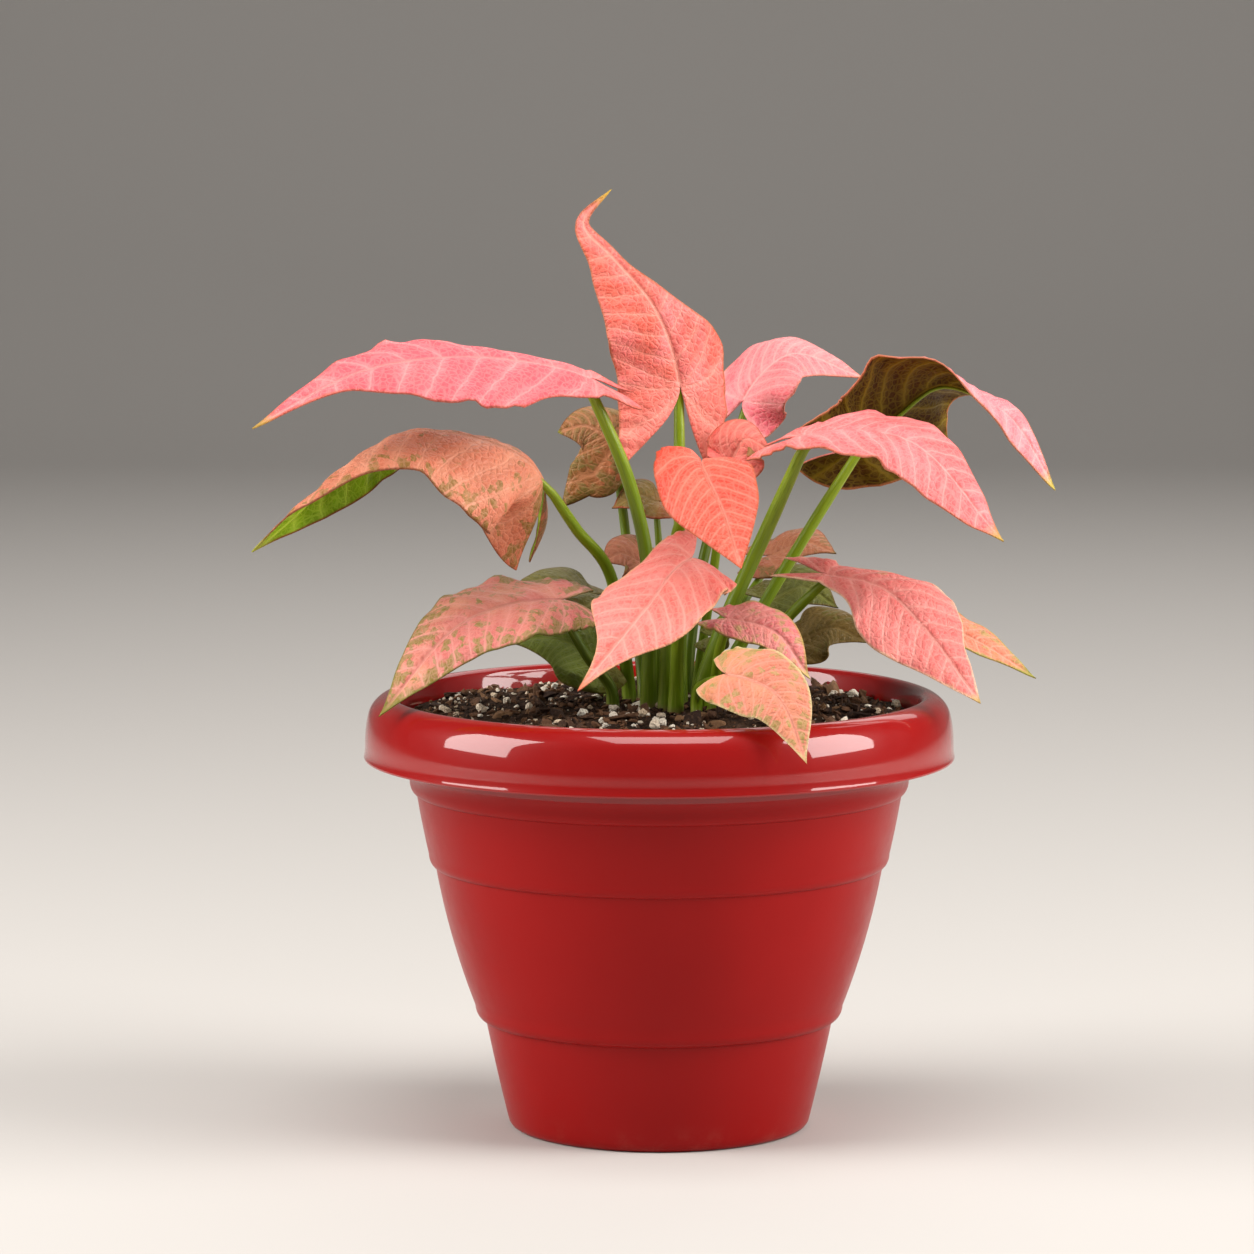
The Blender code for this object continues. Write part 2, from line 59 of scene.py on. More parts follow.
# ---------------------------------------------------------------- pot and soil
POT_SEGMENTS = 56
POT_MOUTH_R = 76.0  # a 6 inch pot
POT_HEIGHT = 127.6
POT_WALL = 2.4
FLOOR_THICK = 3.0
DRAIN_HOLES = 6
DRAIN_HOLE_D = 8.5
DRAIN_RING_R = 28.0
SOIL_GAP = 0.5
SOIL_EDGE_Z = 122.6
SOIL_CROWN_Z = 125.6

# the wall's tiers from the foot up: bottom radius and height, top radius and height, bulge
TIERS = ((44.5, 3.0, 51.0, 32.0, 0.3), (54.0, 36.0, 65.5, 77.5, 2.2), (67.5, 81.0, 71.0, 99.0, 0.3))
# the rolled rim, from the mouth over and down to its hem, then back up underneath
RIM = ((76.0, 126.0), (77.5, 127.4), (79.0, POT_HEIGHT), (82.0, 126.5), (84.5, 123.8), (85.5, 120.0),
       (86.0, 115.5), (86.0, 111.0), (86.5, 109.0), (85.0, 109.0), (84.0, 110.5), (83.5, 115.5),
       (82.5, 121.0), (80.5, 123.5), (78.5, 122.5), (77.5, 118.5), (75.5, 106.0), (73.0, 102.5))

# ---------------------------------------------------------------- plant
BLADE_THICK = 0.8
BLADE_GAP = 2.0  # between one blade and the next behind it
STALK_SIDES = 8
STALK_CLEARANCE = 0.3
STALK_GAP = 0.8  # between one stalk and anything it passes
SHOULDER = 0.9  # width at the junction over the half width

LEAF_COLOURS = {  # linear base colour, roughness
    "pink": ((0.82, 0.25, 0.25), 0.45),
    "coral": ((0.80, 0.19, 0.14), 0.45),
    "dusky": ((0.50, 0.19, 0.12), 0.50),
    "mottled": ((0.52, 0.24, 0.16), 0.50),
    "cream": ((0.68, 0.44, 0.26), 0.50),
    "green": ((0.10, 0.15, 0.02), 0.45),
}

# The leaves, from the front of the plant to the back.
# midrib: where its line passes, in whole mm: between the lobe tips, junction, half way, leaf tip.
# Its middle number is depth behind the junction. lean: how far the stalk leans to the viewer, in
# degrees, which sets the junction's own depth.
# left_w, right_w: half widths in mm, where one margin isn't the other's mirror image: at the lobe
# tip, at the junction, and 1/8, 1/4, 1/2 and 3/4 of the way from there to the leaf tip.
# face: the way the upper side looks, at the junction and at the tip.
# left, right: how far that half is lifted at the midrib, and at the margin, in degrees.
# short: how far the stalk stops from the junction where it comes up between the lobes.
# taper: how drawn out the leaf tip is. soil: where the stalk leaves the soil. bend: points the stalk bows through on its way up.
LEAVES = {
    "front_right": dict(
        midrib=((13, 6, 141), (19, 0, 142), (32, -8, 138), (41, -17, 119)), half_width=11,
        spread=0.5, widest=0.25, face=((-1, -8, 6), (-1, -8, 4)), left=(5, -15), right=(10, -20),
        colour="cream", lean=70, soil=(11, -25), bend=((13, -44, 136),), stalk=1.5),
    "centre": dict(
        midrib=((14, 10, 199), (12, 0, 199), (18, -16, 186), (23, -26, 171)), half_width=18,
        spread=0.8, left_w=(9, 11, 12, 13, 11, 6), right_w=(14, 14, 14, 15, 13, 7), widest=0.15, face=((0, -8, 6), (0, -9, 3)), left=(15, -15), right=(15, -30),
        colour="coral", lean=20, soil=(2, -11), bend=((4, -16, 170),), stalk=2.2),
    "front": dict(
        midrib=((16, 6, 171), (9, 0, 171), (-4, -14, 158), (-23, -26, 136)), half_width=20,
        spread=0.6, left_w=(12, 16, 17, 17, 14, 5), right_w=(12, 11, 11, 12, 16, 4), widest=0.2, face=((-2, -8, 6), (-3, -8, 4)), left=(10, -10), right=(0, -15),
        colour="pink", lean=20, soil=(5, -19), bend=((6, -26, 152),), stalk=2.1),
    "small_right": dict(
        midrib=((13, 4, 153), (20, 0, 153), (33, -6, 150), (43, -12, 137)), half_width=9,
        spread=0.5, widest=0.2, face=((0, -5, 9), (0, -6, 6)), left=(5, -10), right=(15, -10),
        colour="pink", lean=25, soil=(16, -17), bend=((17, -24, 142),), stalk=1.6),
    "small_green": dict(
        midrib=((11, 2, 144), (16, 0, 145), (21, -2, 148), (25, -4, 144)), half_width=7,
        spread=0.5, widest=0.2, face=((0, -6, 8), (0, -6, 6)), left=(10, -20), right=(10, -20),
        colour="green", lean=-15, soil=(20, -10), bend=(), stalk=1.2),
    "right": dict(
        midrib=((28, 5, 199), (42, 0, 205), (69, -7, 205), (98, -15, 176)), half_width=24,
        spread=0.4, right_w=(10, 14, 16, 18, 19, 12), widest=0.2, face=((0, -2, 10), (2, -4, 8)), left=(5, -20), right=(20, -25),
        colour="pink", lean=10, soil=(13, -8), bend=((21, -10, 153), (31, -15, 177)), stalk=2.4),
    "lower_right": dict(
        midrib=((34, 5, 165), (49, 0, 164), (64, -6, 161), (76, -12, 150), (92, -19, 129)), half_width=20,
        spread=0.4, left_w=(8, 9, 9, 11, 17, 7), right_w=(6, 5, 9, 15, 17, 9), widest=0.25, face=((-1, -5, 9), (0, -6, 7)), left=(0, -35), right=(20, -25),
        colour="pink", lean=15, soil=(25, -4), bend=((35, -8, 148),), stalk=1.9),
    "upper_left": dict(
        midrib=((-7, 9, 214), (-20, 0, 221), (-56, -15, 228), (-84, -30, 225), (-114, -46, 210)), half_width=22,
        spread=0.4, left_w=(6, 10, 14, 22, 20, 5), right_w=(4, 4, 5, 6, 14, 7), widest=0.35, face=((0, -4, 10), (0, -4, 10)), left=(0, -30), right=(20, -20),
        colour="pink", lean=5, soil=(-3, -6), bend=((-3, -7, 163), (-9, -9, 191)), stalk=2.3),
    "mid_left": dict(
        midrib=((-38, 6, 166), (-34, 0, 193), (-68, -8, 207), (-116, -18, 173)), half_width=27,
        spread=0.2, left_w=(5, 27, 29, 28, 18, 12), widest=0.3, face=((6, -4, 8), (-2, 5, 8)), left=(-10, -65), right=(-15, -60),
        colour="dusky", lean=20, soil=(-9, 4), bend=((-14, -3, 162), (-24, -12, 177)), stalk=1.9, short=4.5),
    "lower_left": dict(
        midrib=((-17, 4, 155), (-30, 0, 157), (-54, -12, 153), (-80, -24, 126)), half_width=19,
        spread=0.5, widest=0.25, face=((-1, -4, 9), (-2, -5, 7)), left=(15, -25), right=(5, -20),
        colour="mottled", lean=10, soil=(-14, -11), bend=((-21, -13, 140),), stalk=1.6),
    "centre_back": dict(
        midrib=((17, -2, 194), (20, 0, 195), (25, 0, 202), (33, 2, 198)), half_width=10,
        spread=0.5, widest=0.2, face=((0, -7, 7), (0, -7, 7)), left=(10, -20), right=(10, -20),
        colour="dusky", lean=0, soil=(11, 1), bend=((16, 0, 165),), stalk=1.6),
    "top": dict(
        midrib=((6, -7, 192), (6, 0, 217), (-2, -3, 241), (-14, -2, 255), (-22, 0, 264), (-14, 4, 274)), half_width=19,
        spread=0.7, left_w=(18, 19, 18, 18, 13, 4), right_w=(10, 15, 17, 11, 3, 2), widest=0.2, taper=2.6, face=((2, -10, 1), (4, -9, 0)), left=(10, -10), right=(-10, -25),
        colour="coral", lean=-5, soil=(6, -1), bend=((6, 2, 170),), stalk=2.1),
    "upper_right": dict(
        midrib=((40, -3, 197), (59, 0, 200), (68, 1, 207), (82, 2, 217), (101, 0, 209), (116, 0, 186)), half_width=32,
        spread=0.5, left_w=(6, 17, 22, 28, 15, 5), right_w=(6, 17, 19, 23, 13, 8), widest=0.2, face=((0, 8, 6), (4, -8, 5)), left=(10, -25), right=(20, -10),
        colour="pink", lean=-5, soil=(18, 6), bend=((29, 8, 150), (46, 11, 178)), stalk=2.0),
    "green_left": dict(
        midrib=((-10, 2, 136), (-17, 0, 138), (-31, -2, 144), (-44, -4, 143)), half_width=15,
        spread=0.5, widest=0.25, face=((0, -6, 8), (0, -6, 8)), left=(5, -20), right=(5, -20),
        colour="green", lean=-10, soil=(-14, -1), bend=(), stalk=1.4),
    "far_right": dict(
        midrib=((62, 2, 151), (71, 0, 150), (92, -6, 143), (110, -12, 132)), half_width=11,
        spread=0.5, widest=0.2, face=((0, -3, 10), (0, -4, 9)), left=(10, -10), right=(10, 0),
        colour="pink", lean=-15, soil=(31, 6), bend=((53, 10, 144),), stalk=1.5),
    "shaded_centre_left": dict(
        midrib=((3, 2, 163), (-5, 0, 165), (-11, -2, 168), (-17, -4, 165)), half_width=10,
        spread=0.5, widest=0.2, face=((0, -6, 8), (0, -6, 8)), left=(10, -20), right=(10, -20),
        colour="dusky", lean=-10, soil=(0, 4), bend=(), stalk=1.4),
    "shaded_right_low": dict(
        midrib=((32, 2, 141), (41, 0, 142), (51, -2, 146), (61, -6, 142)), half_width=11,
        spread=0.5, widest=0.2, face=((0, -6, 8), (0, -6, 8)), left=(10, -20), right=(10, -20),
        colour="green", lean=15, soil=(28, 15), bend=(), stalk=1.3),
    "shaded_right_mid": dict(
        midrib=((24, 2, 150), (33, 0, 152), (42, -2, 156), (53, -6, 150)), half_width=11,
        spread=0.5, widest=0.2, face=((0, -6, 8), (0, -6, 8)), left=(10, -20), right=(10, -20),
        colour="green", lean=-10, soil=(21, 14), bend=(), stalk=1.3),
    "shaded_left": dict(
        midrib=((-10, 4, 151), (-20, 0, 154), (-31, -2, 159), (-43, -6, 157)), half_width=12,
        spread=0.5, widest=0.2, face=((-1, -3, 10), (-1, -3, 10)), left=(10, -20), right=(10, -20),
        colour="green", lean=-10, soil=(-15, 9), bend=(), stalk=1.4),
    "back_left": dict(
        midrib=((-8, 2, 198), (-14, 0, 200), (-22, 2, 204), (-30, 2, 202)), half_width=19,
        spread=0.6, left_w=(10, 18, 24, 17, 11, 5), right_w=(8, 15, 15, 14, 10, 5), widest=0.2, face=((-2, -9, 3), (-2, -9, 3)), left=(0, -15), right=(-40, -60),
        colour="dusky", lean=-10, soil=(-5, 10), bend=((-10, 27, 172),), stalk=1.6),
    "shaded_centre": dict(
        midrib=((5, 2, 180), (-1, 0, 182), (-5, -1, 184), (-14, -2, 180)), half_width=9,
        spread=0.5, widest=0.2, face=((0, -5, 9), (0, -5, 9)), left=(10, -20), right=(10, -20),
        colour="green", lean=-5, soil=(2, 17), bend=(), stalk=1.3),
    "shaded_right_high": dict(
        midrib=((24, 2, 160), (34, 0, 163), (44, -2, 167), (53, -6, 164)), half_width=13,
        spread=0.5, widest=0.2, face=((0, -4, 9), (0, -4, 9)), left=(10, -20), right=(10, -20),
        colour="dusky", lean=-15, soil=(15, 19), bend=(), stalk=1.4),
    "back_right": dict(
        midrib=((22, -4, 200), (25, 0, 211), (38, 2, 224), (61, 4, 217)), half_width=18,
        spread=0.5, widest=0.25, face=((-1, -3, 9), (0, -4, 9)), left=(10, -20), right=(15, -25),
        colour="pink", lean=-15, soil=(8, 12), bend=((13, 20, 165),), stalk=1.8),
}


# ---------------------------------------------------------------- geometry rules
def smooth_through(stations, values, t):
    """Cubic Hermite curve through the values."""
    k, v = np.asarray(stations, float), np.asarray(values, float)
    h = np.diff(k)
    s = np.diff(v) / h
    m = np.empty_like(v)
    m[0], m[-1] = s[0], s[-1]
    m[1:-1] = (s[:-1] * h[1:] + s[1:] * h[:-1]) / (h[1:] + h[:-1])
    i = np.clip(np.searchsorted(k, t, side="right") - 1, 0, len(h) - 1)
    u = (t - k[i]) / h[i]
    return ((2 * u**3 - 3 * u**2 + 1) * v[i] + (u**3 - 2 * u**2 + u) * h[i] * m[i]
            + (-2 * u**3 + 3 * u**2) * v[i + 1] + (u**3 - u**2) * h[i] * m[i + 1])


def unit(v):
    return v / np.maximum(np.linalg.norm(v, axis=-1, keepdims=True), 1e-9)


def junction_depth(spec):
    """The stalk's foot, and how far its lean carries it over its rise."""
    rise = spec["midrib"][1][2] - SOIL_CROWN_Z
    return spec["soil"][1] - rise * math.tan(math.radians(spec["lean"]))


class Blade:
    """An arrowhead outline bent along its midrib and across each half.

    t runs from -1 (lobe tips) through 0 (junction with the stalk) to 1 (leaf tip).
    """

    def __init__(self, s, back=0.0):
        self.s = s
        line = np.array(s["midrib"], float) + (0.0, junction_depth(s) + back, 0.0)
        step = np.linalg.norm(np.diff(line, axis=0), axis=1)
        self.lobe, self.length = max(step[0], 4.0), step[1:].sum()
        stations = (-self.lobe, 0.0, *np.cumsum(step[1:]))
        self.tau = np.concatenate([np.linspace(-1, 0, 13)[:-1], np.linspace(0, 1, 29)])
        run = np.where(self.tau < 0, self.tau * self.lobe, self.tau * self.length)
        self.path = np.stack([smooth_through(stations, line[:, k], run) for k in range(3)], -1)
        self.fwd = unit(np.gradient(self.path, run, axis=0))
        u = np.clip(self.tau, 0, 1)[:, None]
        face = unit(unit(np.array(s["face"][0], float)) * (1 - u) + unit(np.array(s["face"][1], float)) * u)
        self.up = unit(face - self.fwd * (face * self.fwd).sum(-1, keepdims=True))
        self.right = np.cross(self.fwd, self.up)

    def half(self, side):
        read = self.s.get("left_w" if side < 0 else "right_w")
        return max(read[1:]) if read else self.s["half_width"]

    def outer(self, t, side):
        u, q = np.clip(t, 0, 1), np.clip(-t, 0, 1)
        read = self.s.get("left_w" if side < 0 else "right_w")
        if read:
            ahead = smooth_through((0, 0.125, 0.25, 0.5, 0.75, 1), (*read[1:], 0.0), u)
            back = read[0] + (read[1] - read[0]) * (1 - q**1.7) ** 0.8
            return np.maximum(np.where(t < 0, back, ahead), 0.0)
        w, pm, st = self.half(side), self.s["widest"], self.s["spread"]
        v = np.clip((u - pm) / (1 - pm), 0, 1)
        front = np.where(u < pm, 1 - (1 - SHOULDER) * ((pm - u) / pm) ** 2, (1 - v**1.7) ** self.s.get("taper", 1.3))
        back = st + (SHOULDER - st) * (1 - q**1.7) ** 0.8
        return w * np.where(t < 0, back, front)

    def inner(self, t, side):
        read = self.s.get("left_w" if side < 0 else "right_w")
        reach = read[0] if read else self.half(side) * self.s["spread"]
        return reach * np.clip(-t, 0, 1) ** 1.5

    def point(self, t, across, side):
        """side is -1 for the leaf's left half and 1 for its right."""
        def at(a):
            return np.stack([np.interp(t, self.tau, a[:, k]) for k in range(3)], -1)

        c, r, n = at(self.path), unit(at(self.right)), unit(at(self.up))
        lift, margin = self.s["left"] if side < 0 else self.s["right"]
        a = np.radians(lift) * (1 - 0.7 * np.clip(t, 0, 1))
        e = np.radians(margin) * (1 - 0.3 * np.clip(t, 0, 1))
        w = np.where(t >= 0, np.maximum(self.outer(np.maximum(t, 0), side), 0.35 * self.half(side)),
                     self.half(side) * SHOULDER)
        k = (e - a) / w
        k = np.where(np.abs(k) < 1e-6, 1e-6, k)
        x = (np.sin(a + k * across) - np.sin(a)) / k
        z = (np.cos(a) - np.cos(a + k * across)) / k
        return c + r * (side * x)[..., None] + n * z[..., None]

    def sheet(self, rows, cols):
        """Points all over both halves."""
        found = []
        for side in (-1, 1):
            t, v = (g.ravel() for g in np.meshgrid(np.linspace(-1, 1, rows), np.linspace(0, 1, cols)))
            inner = np.where(t < 0, self.inner(t, side), 0.0)
            found.append(self.point(t, inner + (self.outer(t, side) - inner) * v, side))
        return np.concatenate(found)


def depth_map(points, cell=2.0):
    """The nearest and furthest Y over each square cell of the XZ plane."""
    near, far = {}, {}
    for (i, k), y in zip(np.round(points[:, [0, 2]] / cell).astype(int), points[:, 1]):
        near[i, k] = min(near.get((i, k), y), y)
        far[i, k] = max(far.get((i, k), y), y)
    return near, far


def layered():
    """Each blade, from front to back, set back just far enough to clear those in front of it."""
    done, placed = {}, {}
    for name, spec in LEAVES.items():
        near, far = depth_map(Blade(spec).sheet(110, 34))
        back = 0.0
        for other in placed.values():
            shared = other.keys() & near.keys()
            if shared:
                back = max(back, max(other[c] - near[c] for c in shared) + BLADE_GAP)
        done[name] = back
        placed[name] = {c: y + back for c, y in far.items()}
    return done


def apart(p, q, reach):
    """Whether the boxes round two sets of points are further apart than this."""
    return bool((np.maximum(p.min(0) - q.max(0), q.min(0) - p.max(0)) > reach).any())


def stalk_radii(spec):
    r = spec["stalk"]
    return (r, 0.85 * r, 0.68 * r)


def stalk_routes(blades):
    """Each stalk rises from the soil to the underside of its blade's junction, bowing through its
    bends. Stalks are then eased sideways, a little at a time, until each clears what it passes."""
    lines = {}
    for name, spec in LEAVES.items():
        b = blades[name]
        top = b.path[12] - b.up[12] * (0.5 * BLADE_THICK + 0.5 + spec["stalk"] * 0.7) - b.fwd[12]
        if "short" in spec:  # comes up between the lobes, and stops short of them
            towards = np.array(spec["bend"][-1]) - b.path[12]
            top = b.path[12] + unit(towards) * spec["short"]
        x, y = spec["soil"]
        points = [(x, y, 118.0), (x, y, 130.0), *spec["bend"], tuple(top)]
        if not spec["bend"]:
            points.insert(2, (x * 0.6 + top[0] * 0.4, y * 0.6 + top[1] * 0.4, 66.0 + top[2] * 0.5))
        lines[name] = np.array(points, float)
    t = np.linspace(0, 1, 41)
    shape = {}
    for name, line in lines.items():
        k = np.linspace(0, 1, len(line))
        shape[name] = np.stack([smooth_through(k, row, t) for row in np.eye(len(line))], -1)
    names = list(lines)
    radius = {n: np.interp(t, [0, 0.8, 1], stalk_radii(LEAVES[n])) for n in names}
    sheets = {n: b.sheet(36, 9) for n, b in blades.items()}
    for _ in range(70):
        ease = {n: np.zeros_like(lines[n]) for n in names}
        run = {n: shape[n] @ lines[n] for n in names}
        moved = False
        for i, a in enumerate(names):
            for b in names[i + 1:]:
                if apart(run[a], run[b], radius[a].max() + radius[b].max() + STALK_GAP):
                    continue
                gap = run[a][:, None] - run[b][None]
                far = np.linalg.norm(gap, axis=-1)
                short = radius[a][:, None] + radius[b][None] + STALK_GAP - far
                u, v = np.unravel_index(np.argmax(short), short.shape)
                if short[u, v] > 0:
                    away = gap[u, v] * (1, 1, 0) + (0, 1e-3, 0)
                    away = away / np.linalg.norm(away) * short[u, v] * 0.5
                    ease[a] += shape[a][u][:, None] * away
                    ease[b] -= shape[b][v][:, None] * away
                    moved = True
            for b in names:
                own = slice(0, 37) if a == b else slice(0, 41)
                if apart(run[a][own], sheets[b], radius[a].max() + 0.5 * BLADE_THICK + STALK_GAP):
                    continue
                gap = run[a][own][:, None] - sheets[b][None]
                far = np.linalg.norm(gap, axis=-1)
                short = radius[a][own][:, None] + 0.5 * BLADE_THICK + STALK_GAP - far
                u, v = np.unravel_index(np.argmax(short), short.shape)
                if short[u, v] > 0:
                    away = gap[u, v] * (0.3, 1, 0) + (0, 1e-3, 0)
                    away = away / np.linalg.norm(away) * short[u, v] * 0.5
                    ease[a] += shape[a][u][:, None] * away
                    moved = True
        for n in names:
            ease[n][[0, -1]] = 0
            lines[n] += ease[n]
        if not moved:
            break
    return lines


def tier(r0, z0, r1, z1, bulge, points=4):
    u = np.linspace(0, 1, points)
    return list(zip(r0 + (r1 - r0) * u + bulge * 4 * u * (1 - u) * 0.5, z0 + (z1 - z0) * u))


def wall():
    """The wall's outer face, from the foot up."""
    return [p for t in TIERS for p in tier(*t)]


def pot_profile():
    inside = [(r - POT_WALL, z) for r, z in wall() if z > 5]
    mouth = [(73.0, 106.0), (POT_MOUTH_R - 1.5, 119.0)]
    floor = [(0.0, FLOOR_THICK), (37.5, FLOOR_THICK)]
    foot = [(43.5, 1.0), (41.5, 0.0), (0.0, 0.0)]
    return floor + inside + mouth + list(RIM) + wall()[::-1] + foot


def soil_profile():
    side = [(r - POT_WALL - SOIL_GAP, z - 0.3) for r, z in wall() if z > 5][::-1]
    crown = [(0.0, SOIL_CROWN_Z), (25.0, SOIL_CROWN_Z - 0.3), (50.0, SOIL_CROWN_Z - 1.6),
             (POT_MOUTH_R - 3.0, SOIL_EDGE_Z), (POT_MOUTH_R - 3.2, 117.0), (71.5, 106.0)]
    return crown + side + [(36.5, FLOOR_THICK + 0.4), (0.0, FLOOR_THICK + 0.4)]

